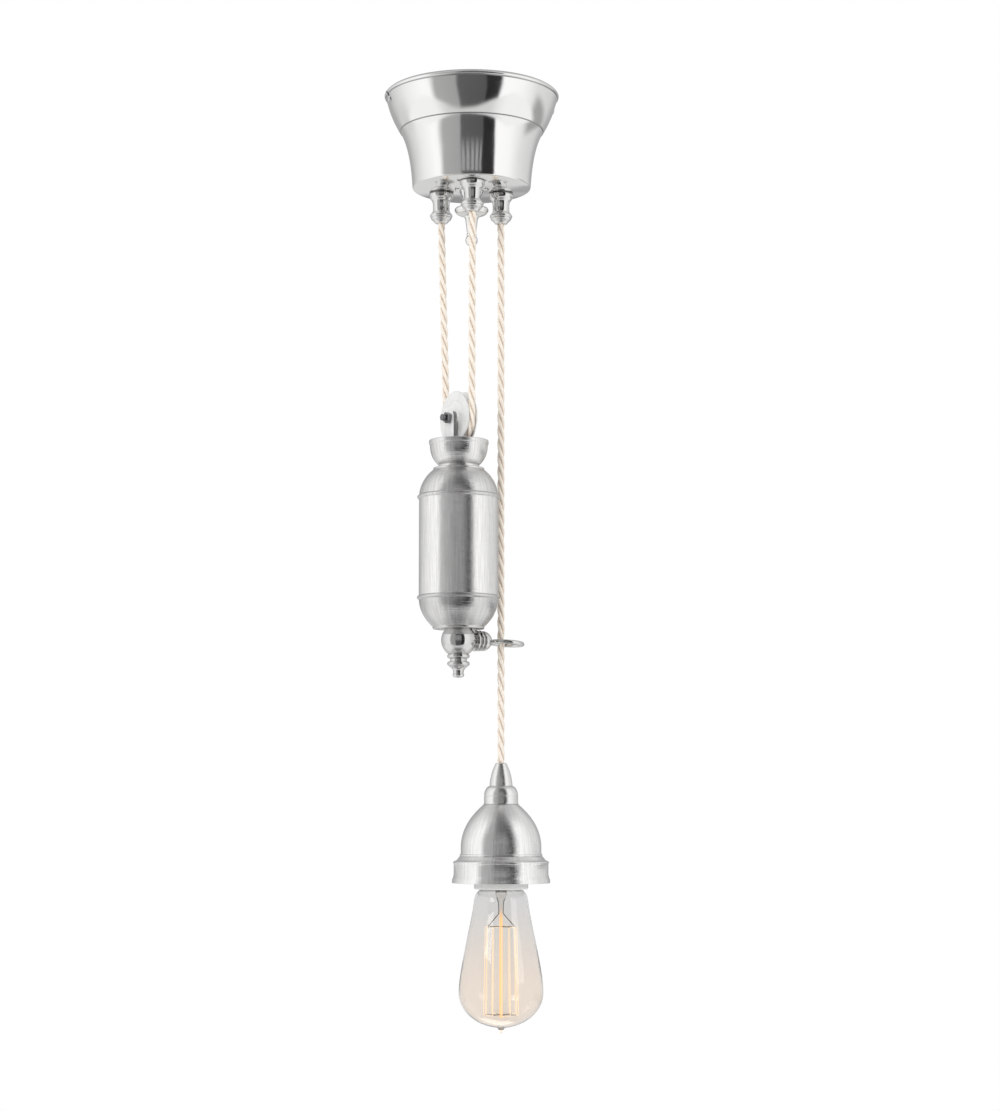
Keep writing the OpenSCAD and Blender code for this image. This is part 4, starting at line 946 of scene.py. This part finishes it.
# The second finish: painted shade on the fork's narrow sides
fork.data.materials.append(plain_metal("shaded_aluminium_edge", (0.34, 0.34, 0.34), 0.4))
dark_steel = plain_metal("dark_blued_steel", (0.24, 0.24, 0.25), 0.14, lines=0.8, spots=0.5)
axle_half = 15.6
axle_bar = turned(rounded([(0, -axle_half), (2.5, -axle_half), (2.5, axle_half),
                           (0, axle_half)], 0.5), 48)
put("lower_axle", laid(axle_bar, *pulley_at, tip=90), "counterweight", dark_steel,
    ["weight_axle"])
lie_down = Matrix.Rotation(math.radians(90), 3, "Y")
nut_height = 4
nut_start = fork_half + 0.05
set_pieces("lower_axle_nuts", nut(4.2, nut_height, axle_bore),
           [(pulley_x + nut_start, 0, pulley_axle),
            (pulley_x - nut_start - nut_height, 0, pulley_axle)],
           "counterweight", dark_steel, ["weight_axle_nuts"],
           [lie_down, lie_down])


# ------------------------------------------------------------ the counterweight
# A nickel-plated brass drum: an open cup that takes the fork, a domed cap, a sleeve and
# a domed foot with a bead at each joint, clamped by one rod round an iron slug. Its
# satin was rubbed round the drum, so that what it mirrors is drawn out up and down.
# Each piece of the drum takes its own copy of this nickel, darker on the cup and the caps than on
# the sleeve: painted shade
def satin_nickel(name, soft, tint, lines, wave, metallic):
    return plain_metal(name, (tint, tint * 0.995, tint * 0.985), soft, (pulley_x, 0, 0),
                       lines=lines, wave=wave, spread=0.2, metallic=metallic, streaks=0.75)


def on_weight(name, outline, finish, node, corner=0.3, steps=192):
    return put(name, laid(turned(rounded(outline, corner), steps), *pulley_at),
               "counterweight", finish, [node])


def wall_of(line, thickness, low, high):
    return [p for p in inside(line, thickness) if low < p[1] < high]


def bead_at(drop):
    return [(30.6, drop - 1.6)] + bow((30.5, drop), 1.25, -68, 68, 10) + [(30.6, drop + 1.6)]


cup_side = curve((22.2, 20.4), (22.2, 26.4), (20.5, 31.5), (15.4, 36.2), 22)
on_weight("open_cup", [(22.05, 16.8), (22.45, 16.8), (22.85, 17.2), (22.85, 19.6), (22.45, 20)]
          + cup_side + [(15.1, 38.2), (0, 38.2), (0, 34.8), (14.7, 34.8)]
          + wall_of(cup_side, 1.0, 20.4, 34.5) + [(21.2, 20), (21.2, 16.8)],
          satin_nickel("satin_nickel_cup", 0.1, 0.84, 12.0, 0.15, 0.99), "weight_cup")
cap_side = curve((19.9, 40), (24.8, 43.6), (29.8, 51), (30.3, 58.8), 22)
on_weight("domed_top_cap", [(0, 38.2), (19.3, 38.2), (19.6, 38.6), (19.6, 39.6)] + cap_side
          + bead_at(60.6) + [(30.45, 62.2), (30.45, 60.2)] + wall_of(cap_side, 1.0, 39.9, 58.5)
          + [(18, 39.6), (0, 39.6)],
          satin_nickel("satin_nickel_top_cap", 0.12, 0.76, 12.0, 0.15, 0.94), "top_cap")
on_weight("spun_sleeve", [(29.4, 61), (30.4, 61), (30.4, 137.4), (29.4, 137.4)],
          satin_nickel("satin_nickel_sleeve", 0.1, 0.88, 10.0, 0.2, 0.92),
          "weight_sleeve", 0.2)
foot_side = curve((30.3, 139.6), (29.8, 147.5), (26, 154), (20.2, 159.6), 22)
on_weight("domed_foot", [(30.45, 136.2)] + bead_at(137.8) + foot_side
          + [(19.6, 160.2), (19.8, 161.2), (19.4, 161.8), (0, 161.8), (0, 160.8), (18, 160.8)]
          + wall_of(foot_side, 1.0, 139.8, 160.2) + [(29.2, 138.3), (30.45, 138.3)],
          satin_nickel("satin_nickel_bottom_cap", 0.11, 0.7, 10.0, 0.15, 0.98), "bottom_cap")
iron = plain_metal("rough_cast_iron", (0.2, 0.2, 0.205), 0.55, lines=0.0, spots=3.0, spread=0.3)
from_cad("iron_slug", ["cast_slug"], "counterweight", iron)
from_cad("tie_rod_and_nut", ["tie_rod", "tie_nut"], "counterweight", zinc)

# The polished foot: a ball that takes the tie rod, a button below it, and a knob with
# two collars on its side that carries the guide ring by a pin
# The foot's nickel is a darker copy of the canopy's: painted shade
foot_nickel = polished_nickel("polished_nickel_foot", (pulley_x, 0, 0), wave=0.2, soft=0.09,
                              tint=0.68)
hub_drop = 170.2
hub_flat = 11
ball = turned(rounded([(0, 161.8), (10.18, 161.8)] + bow((0, hub_drop), 13.2, -39.5, 54.9, 44)
                      + [(7.59, 181.0), (0, 181.0)], 0.2), 128)
cut = bmesh.ops.bisect_plane(ball, geom=ball.verts[:] + ball.edges[:] + ball.faces[:],
                             plane_co=(hub_flat, 0, -hub_drop), plane_no=(1, 0, 0),
                             clear_outer=True)
rim = [e for e in cut["geom_cut"] if isinstance(e, bmesh.types.BMEdge)]
bmesh.ops.contextual_create(ball, geom=rim)
put("hub_ball_turned", laid(ball, *pulley_at), "counterweight", foot_nickel,
    ["hub_ball"])
on_weight("button_finial", [(0, 181), (7.6, 181)] + bow((7, 182.5), 1.6, -68, 68, 12)
          + curve((7.2, 184.2), (6.4, 184.8), (6.2, 185.2), (6.3, 186.2), 8)
          + bow((6.9, 188.2), 1.7, -62, 70, 12)
          + curve((7.3, 190), (6.2, 191.2), (4.6, 191.6), (4.1, 194), 12)
          + [(3.9, 195.4), (4.4, 196), (4.4, 197), (3.7, 198.4), (0, 199)], foot_nickel,
          "weight_finial", 0.3, 96)
knob = turned(rounded([(0, 0), (6.6, 0), (6, 1.6), (6, 2.6), (8, 2.9), (8.2, 3.5), (8, 4.6),
                       (5.6, 5), (5.6, 6.2), (7.7, 6.5), (8, 7.2), (7.7, 8.2), (5.4, 8.6),
                       (5.4, 9.5), (7.3, 9.6)] + bow((0, 10), 7.7, 2, 89, 28) + [(0, 17.7)],
                      0.35), 96)
knob.transform(Matrix.Rotation(math.radians(-90), 4, "Y"))
knob.transform(Matrix.Translation((hub_flat, 0, -hub_drop)))
put("collared_knob", laid(knob, *pulley_at), "counterweight", foot_nickel,
    ["guide_knob"])
# The ring hangs down a little from its edge nearest to the knob
ring_radius = 12.2
ring_wire = 1.75
ring = turned(bow((ring_radius, 0), ring_wire, 0, 360, 28)[:-1], 128)
ring.transform(Matrix.Translation((29.05, 0, -hub_drop)) @ Matrix.Rotation(
    math.radians(4), 4, "Y") @ Matrix.Translation((ring_radius + ring_wire, 0, 0)))
pin = turned(rounded([(0, 0), (1.5, 0), (1.5, 6), (0, 6)], 0.2), 32)
pin.transform(Matrix.Translation((23.9, 0, -hub_drop)) @ Matrix.Rotation(
    math.radians(-90), 4, "Y"))
put("guide_ring_and_pin", laid(together(ring, pin), *pulley_at), "counterweight",
    foot_nickel, ["guide_ring"])


# ------------------------------------------------------------------- the lamp
# A turned grip that holds the cord on a threaded nipple, a cap, and a shade spun from
# brass to a dome with a stepped skirt, all nickel plated and polished.
def on_lamp(name, outline, finish, nodes, corner=0.3, steps=192):
    return put(name, laid(turned(rounded(outline, corner), steps), lamp_x, 0, lamp_top),
               "lamp", finish, nodes)


lamp_nickel = plain_metal("brushed_nickel_lamp", (0.84, 0.838, 0.825), 0.1, (lamp_x, 0, 0),
                          lines=10.0, wave=0.2, spread=0.14, metallic=0.96, streaks=0.7)
on_lamp("turned_cord_grip", [(3.05, 0), (3.85, 0)]
        + curve((4.25, 0.3), (6.2, 4.4), (8.4, 9.6), (8.8, 17.5), 20)
        + [(5.05, 17.5), (5.05, 9), (3.05, 9)], lamp_nickel, ["cord_grip"])
on_lamp("shade_cap_turned", [(5.05, 17.5), (9.2, 17.5)]
        + curve((9.4, 17.6), (11.6, 18.6), (12.8, 21.5), (13, 24.6), 16)
        + [(12.7, 25), (13, 25.4), (13, 30.4), (13.4, 31.2), (5.05, 31.2)],
        lamp_nickel, ["shade_cap"])
dome_side = curve((13.6, 31.6), (20, 37.5), (29.6, 46.5), (30.7, 62), 34)
skirt_side = [(30.8, 69.0)] + bow((30.9, 69.8), 0.75, -80, 70, 8) \
    + [(31.8, 70.9), (32.8, 72.2), (33.8, 73.5)] + bow((35.4, 75.5), 1.15, -100, 30, 8) \
    + [(36.1, 76.9), (36.1, 84.4), (36.6, 86.6), (37.3, 88.2), (37.4, 91)]
shade_side = dome_side + skirt_side
on_lamp("spun_shade", [(5.05, 31.2), (12.9, 31.2)] + shade_side
        + [p for p in inside(dome_side + [(30.8, 69.8), (32.6, 71.8), (35.2, 74.8), (36.1, 77),
                                          (36.1, 84.4), (37.3, 88.2), (37.4, 91)], 1.0)
           if p[1] > 32.7] + [(12, 32.5), (5.05, 32.5)],
        plain_metal("brushed_nickel_shade", (0.9, 0.898, 0.89), 0.1, (lamp_x, 0, 0), lines=9.0,
                    wave=0.4, spread=0.18, metallic=0.95, streaks=0.8), ["shade"],
        0.45, 224)
from_cad("nipple_and_nut", ["threaded_nipple", "nipple_nut"], "lamp", zinc)

# The white lampholder with the ring screwed on from below, its brass shell and contact
on_lamp("lampholder_body", [(5.05, 44), (12.5, 44)] + bow((13.5, 50), 6, -90, 0, 12)
        + [(19.5, 83.8), (18.7, 84.2), (18.7, 93.3), (14.8, 93.3), (14.8, 63), (0, 63), (0, 54),
           (5.05, 54)], moulded("white_glazed_holder", (0.86, 0.86, 0.84), 0.15),
        ["lampholder"], 0.5)
# The ring's white is lighter than the holder's and the other plastic: painted light, to lift it
# out of the shadow under the lamp's shade
on_lamp("holder_ring_moulded", [(18.9, 84.6), (20.2, 84.6), (20.7, 85.2), (20.7, 95), (20, 95.7),
                                (15.6, 95.7), (15.6, 93.5), (18.9, 93.5)],
        moulded("white_plastic_painted_lighter", (0.93, 0.93, 0.91)),
        ["holder_ring"], 0.4, 96)
from_cad("shell_and_contact", ["screw_shell", "centre_contact"], "lamp", brass)


# ------------------------------------------------------------------- the bulb
# A screw-cap bulb of thin clear glass, long and rounded, sealed to a point below. The
# cap's thread is rolled into thin plated brass, and its contact is set in pale glaze.
def clear_glass(name, upper, lower, start=620, end=700, glow=0.0, bend=1.47):
    """Clear glass whose colour changes between two distances below the ceiling. The lower colour,
    and any glow, are painted light from the filament.
    """
    finish, m = new_finish(name)
    place = m.node("ShaderNodeTexCoord", out="Object")
    z = m.node("ShaderNodeSeparateXYZ", values={0: place}).of("Z")
    reamy = m.noise(place, 30.0, 1.0)
    lit = m.rise(z * -1000 + reamy * 8, start, end)
    warm = tuple(v * glow for v in lower)
    m.covering({"Base Color": m.mixed(lit, (*upper, 1), (*lower, 1)),
                "Emission Color": m.mixed(lit, (0, 0, 0, 1), (*warm, 1)),
                "Emission Strength": 1.0, "Roughness": 0.0, "IOR": bend,
                "Transmission Weight": 1.0}, reamy, 0.002, 0.15)
    return finish


glass_line = [(12.4, 88.6), (12.7, 91), (13.6, 93.6), (15.1, 95.6), (17, 96.6), (18.6, 98.2),
              (19.8, 100.8)] + curve((20.7, 104.5), (21.6, 117), (31, 152), (32, 170), 40) \
    + curve((32.05, 173), (32.4, 184), (23, 197), (3.6, 199.5), 40)
# The glass is painted warmer low down, round the filament: painted light
on_lamp("blown_bulb", glass_line + [(2, 200.8), (1, 202.8), (0, 204.2), (0, 198.7)]
        + [p for p in inside(glass_line, 0.8) if p[1] > 88.7] + [(11.6, 88.6)],
        clear_glass("clear_bulb_glass", (0.8, 0.8, 0.8), (0.9, 0.84, 0.785)),
        ["bulb_glass"], 0.3)
crests = []
for turn in range(5):
    crests += bow((12.2, 72.7 + 3.6 * turn), 0.9, -80, 80, 8)
on_lamp("rolled_bulb_cap", [(6, 68.7), (9, 68.7)] + crests
        + [(12.2, 87.8), (12.9, 87.9), (12.9, 88.4), (11.6, 88.4), (11.6, 71.1), (6, 71.1)],
        plain_metal("satin_nickel_bulb_cap", (0.75, 0.74, 0.72), 0.2, (lamp_x, 0, 0)),
        ["bulb_cap"], 0.2, 96)
on_lamp("glazed_cap_insulator", [(0, 65.7), (4.6, 65.7), (8.8, 68.7), (5.8, 68.7), (5.8, 70.7),
                               (0, 70.7)], moulded("pale_glazed_insulator", (0.7, 0.7, 0.68)),
        ["bulb_insulator"], 0.3, 64)

# Inside it, the pinched glass foot and its rod, the two leads, and the hooks that hold
# the glowing wire in a cage of twelve strands
# The rod's lower end is warm and glows inside the cage: painted light from the filament
on_lamp("glass_foot_and_rod", [(0, 70.7), (2.6, 70.7), (2.6, 84)]
        + curve((2.6, 84), (3.2, 88), (7, 91), (11.3, 92.4), 12)
        + [(10.6, 93.4), (4.4, 92.5), (4.2, 100), (2.4, 104), (1.3, 105.5), (1.3, 192),
           (0, 192.6)],
        clear_glass("glass_rod_painted_glow", (0.85, 0.83, 0.8), (0.93, 0.6, 0.3), 634, 644,
                    glow=0.35, bend=1.16), ["bulb_stem"], 0.3, 64)

wire_tree, m = shape_tree("wire_along_lines", (
    ("Thickness", "Float"), ("Sides", "Int"), ("Finish", "Material")))
line = m.node("GeometryNodeMeshToCurve", values={0: m.given.of("Geometry")})
line = m.node("GeometryNodeFilletCurve", {"mode": "POLY"}, {
    "Curve": line, "Radius": m.given.of("Thickness") * 2.5, "Count": 4})
round_edge = m.node("GeometryNodeCurvePrimitiveCircle", values={
    "Resolution": m.given.of("Sides"), "Radius": m.given.of("Thickness")})
m.result(m.node("GeometryNodeCurveToMesh", values={
    "Curve": line, "Profile Curve": round_edge, "Fill Caps": True}))


def bent_wires(name, lines, thickness, finish, node):
    """Round wires along lines of points given from the top of the lamp."""
    mesh = bpy.data.meshes.new(name + "_lines")
    points, edges = [], []
    for line in lines:
        first = len(points)
        points += [fitted(lamp_x + x, y, lamp_top - drop) for x, y, drop in line]
        edges += [(first + i, first + i + 1) for i in range(len(line) - 1)]
    mesh.from_pydata(points, edges, [])
    piece = shaped(name, wire_tree, mesh, {"Thickness": thickness / 1000, "Sides": 10,
                                           "Finish": finish})
    return belongs(piece, "lamp", [node])


bare = plain_metal("bare_drawn_wire", (0.36, 0.34, 0.32), 0.3, lines=0.3)
bent_wires("bent_lead_wires", [[(3.8 * way, 0, 102), (2.3 * way, 0, 105.8), (1.9 * way, 0, 114),
                                (11.4 * way, 0, 123.4)] for way in (-1, 1)], 0.4, bare,
           "lead_wires")
strands = 12
cage_top = (12, 124)
cage_foot = (13.2, 190)
spokes = []
for i in range(strands // 2):
    for (reach, drop), step in ((cage_top, 1.5), (cage_foot, 0.5)):
        a = math.tau * (2 * i + step) / strands
        out = reach * math.cos(math.pi / strands) - 0.4
        spokes.append([(1.35 * math.cos(a), 1.35 * math.sin(a), drop),
                       (out * math.cos(a), out * math.sin(a), drop)])
bent_wires("filament_spokes", spokes, 0.3, bare, "filament_hooks")

glow, m = new_finish("glowing_filament_wire")
flicker = m.noise(m.node("ShaderNodeTexCoord", out="Object"), 260.0)
hot = m.mixed(flicker, (1.0, 0.76, 0.48, 1), (1.0, 0.88, 0.68, 1))
wire_glow = m.node("ShaderNodeBsdfPrincipled", values={
    "Base Color": (0.3, 0.25, 0.2, 1), "Roughness": 0.5, "Emission Color": hot,
    "Emission Strength": 1.0})
m.node("ShaderNodeOutputMaterial", values={"Surface": wire_glow})
zigzag = []
for i in range(strands):
    a = math.tau * i / strands
    ends = [(reach * math.cos(a), reach * math.sin(a), drop)
            for reach, drop in (cage_top, cage_foot)]
    zigzag += ends if i % 2 == 0 else ends[::-1]
bent_wires("caged_filament", [zigzag], 0.35, glow, "filament")
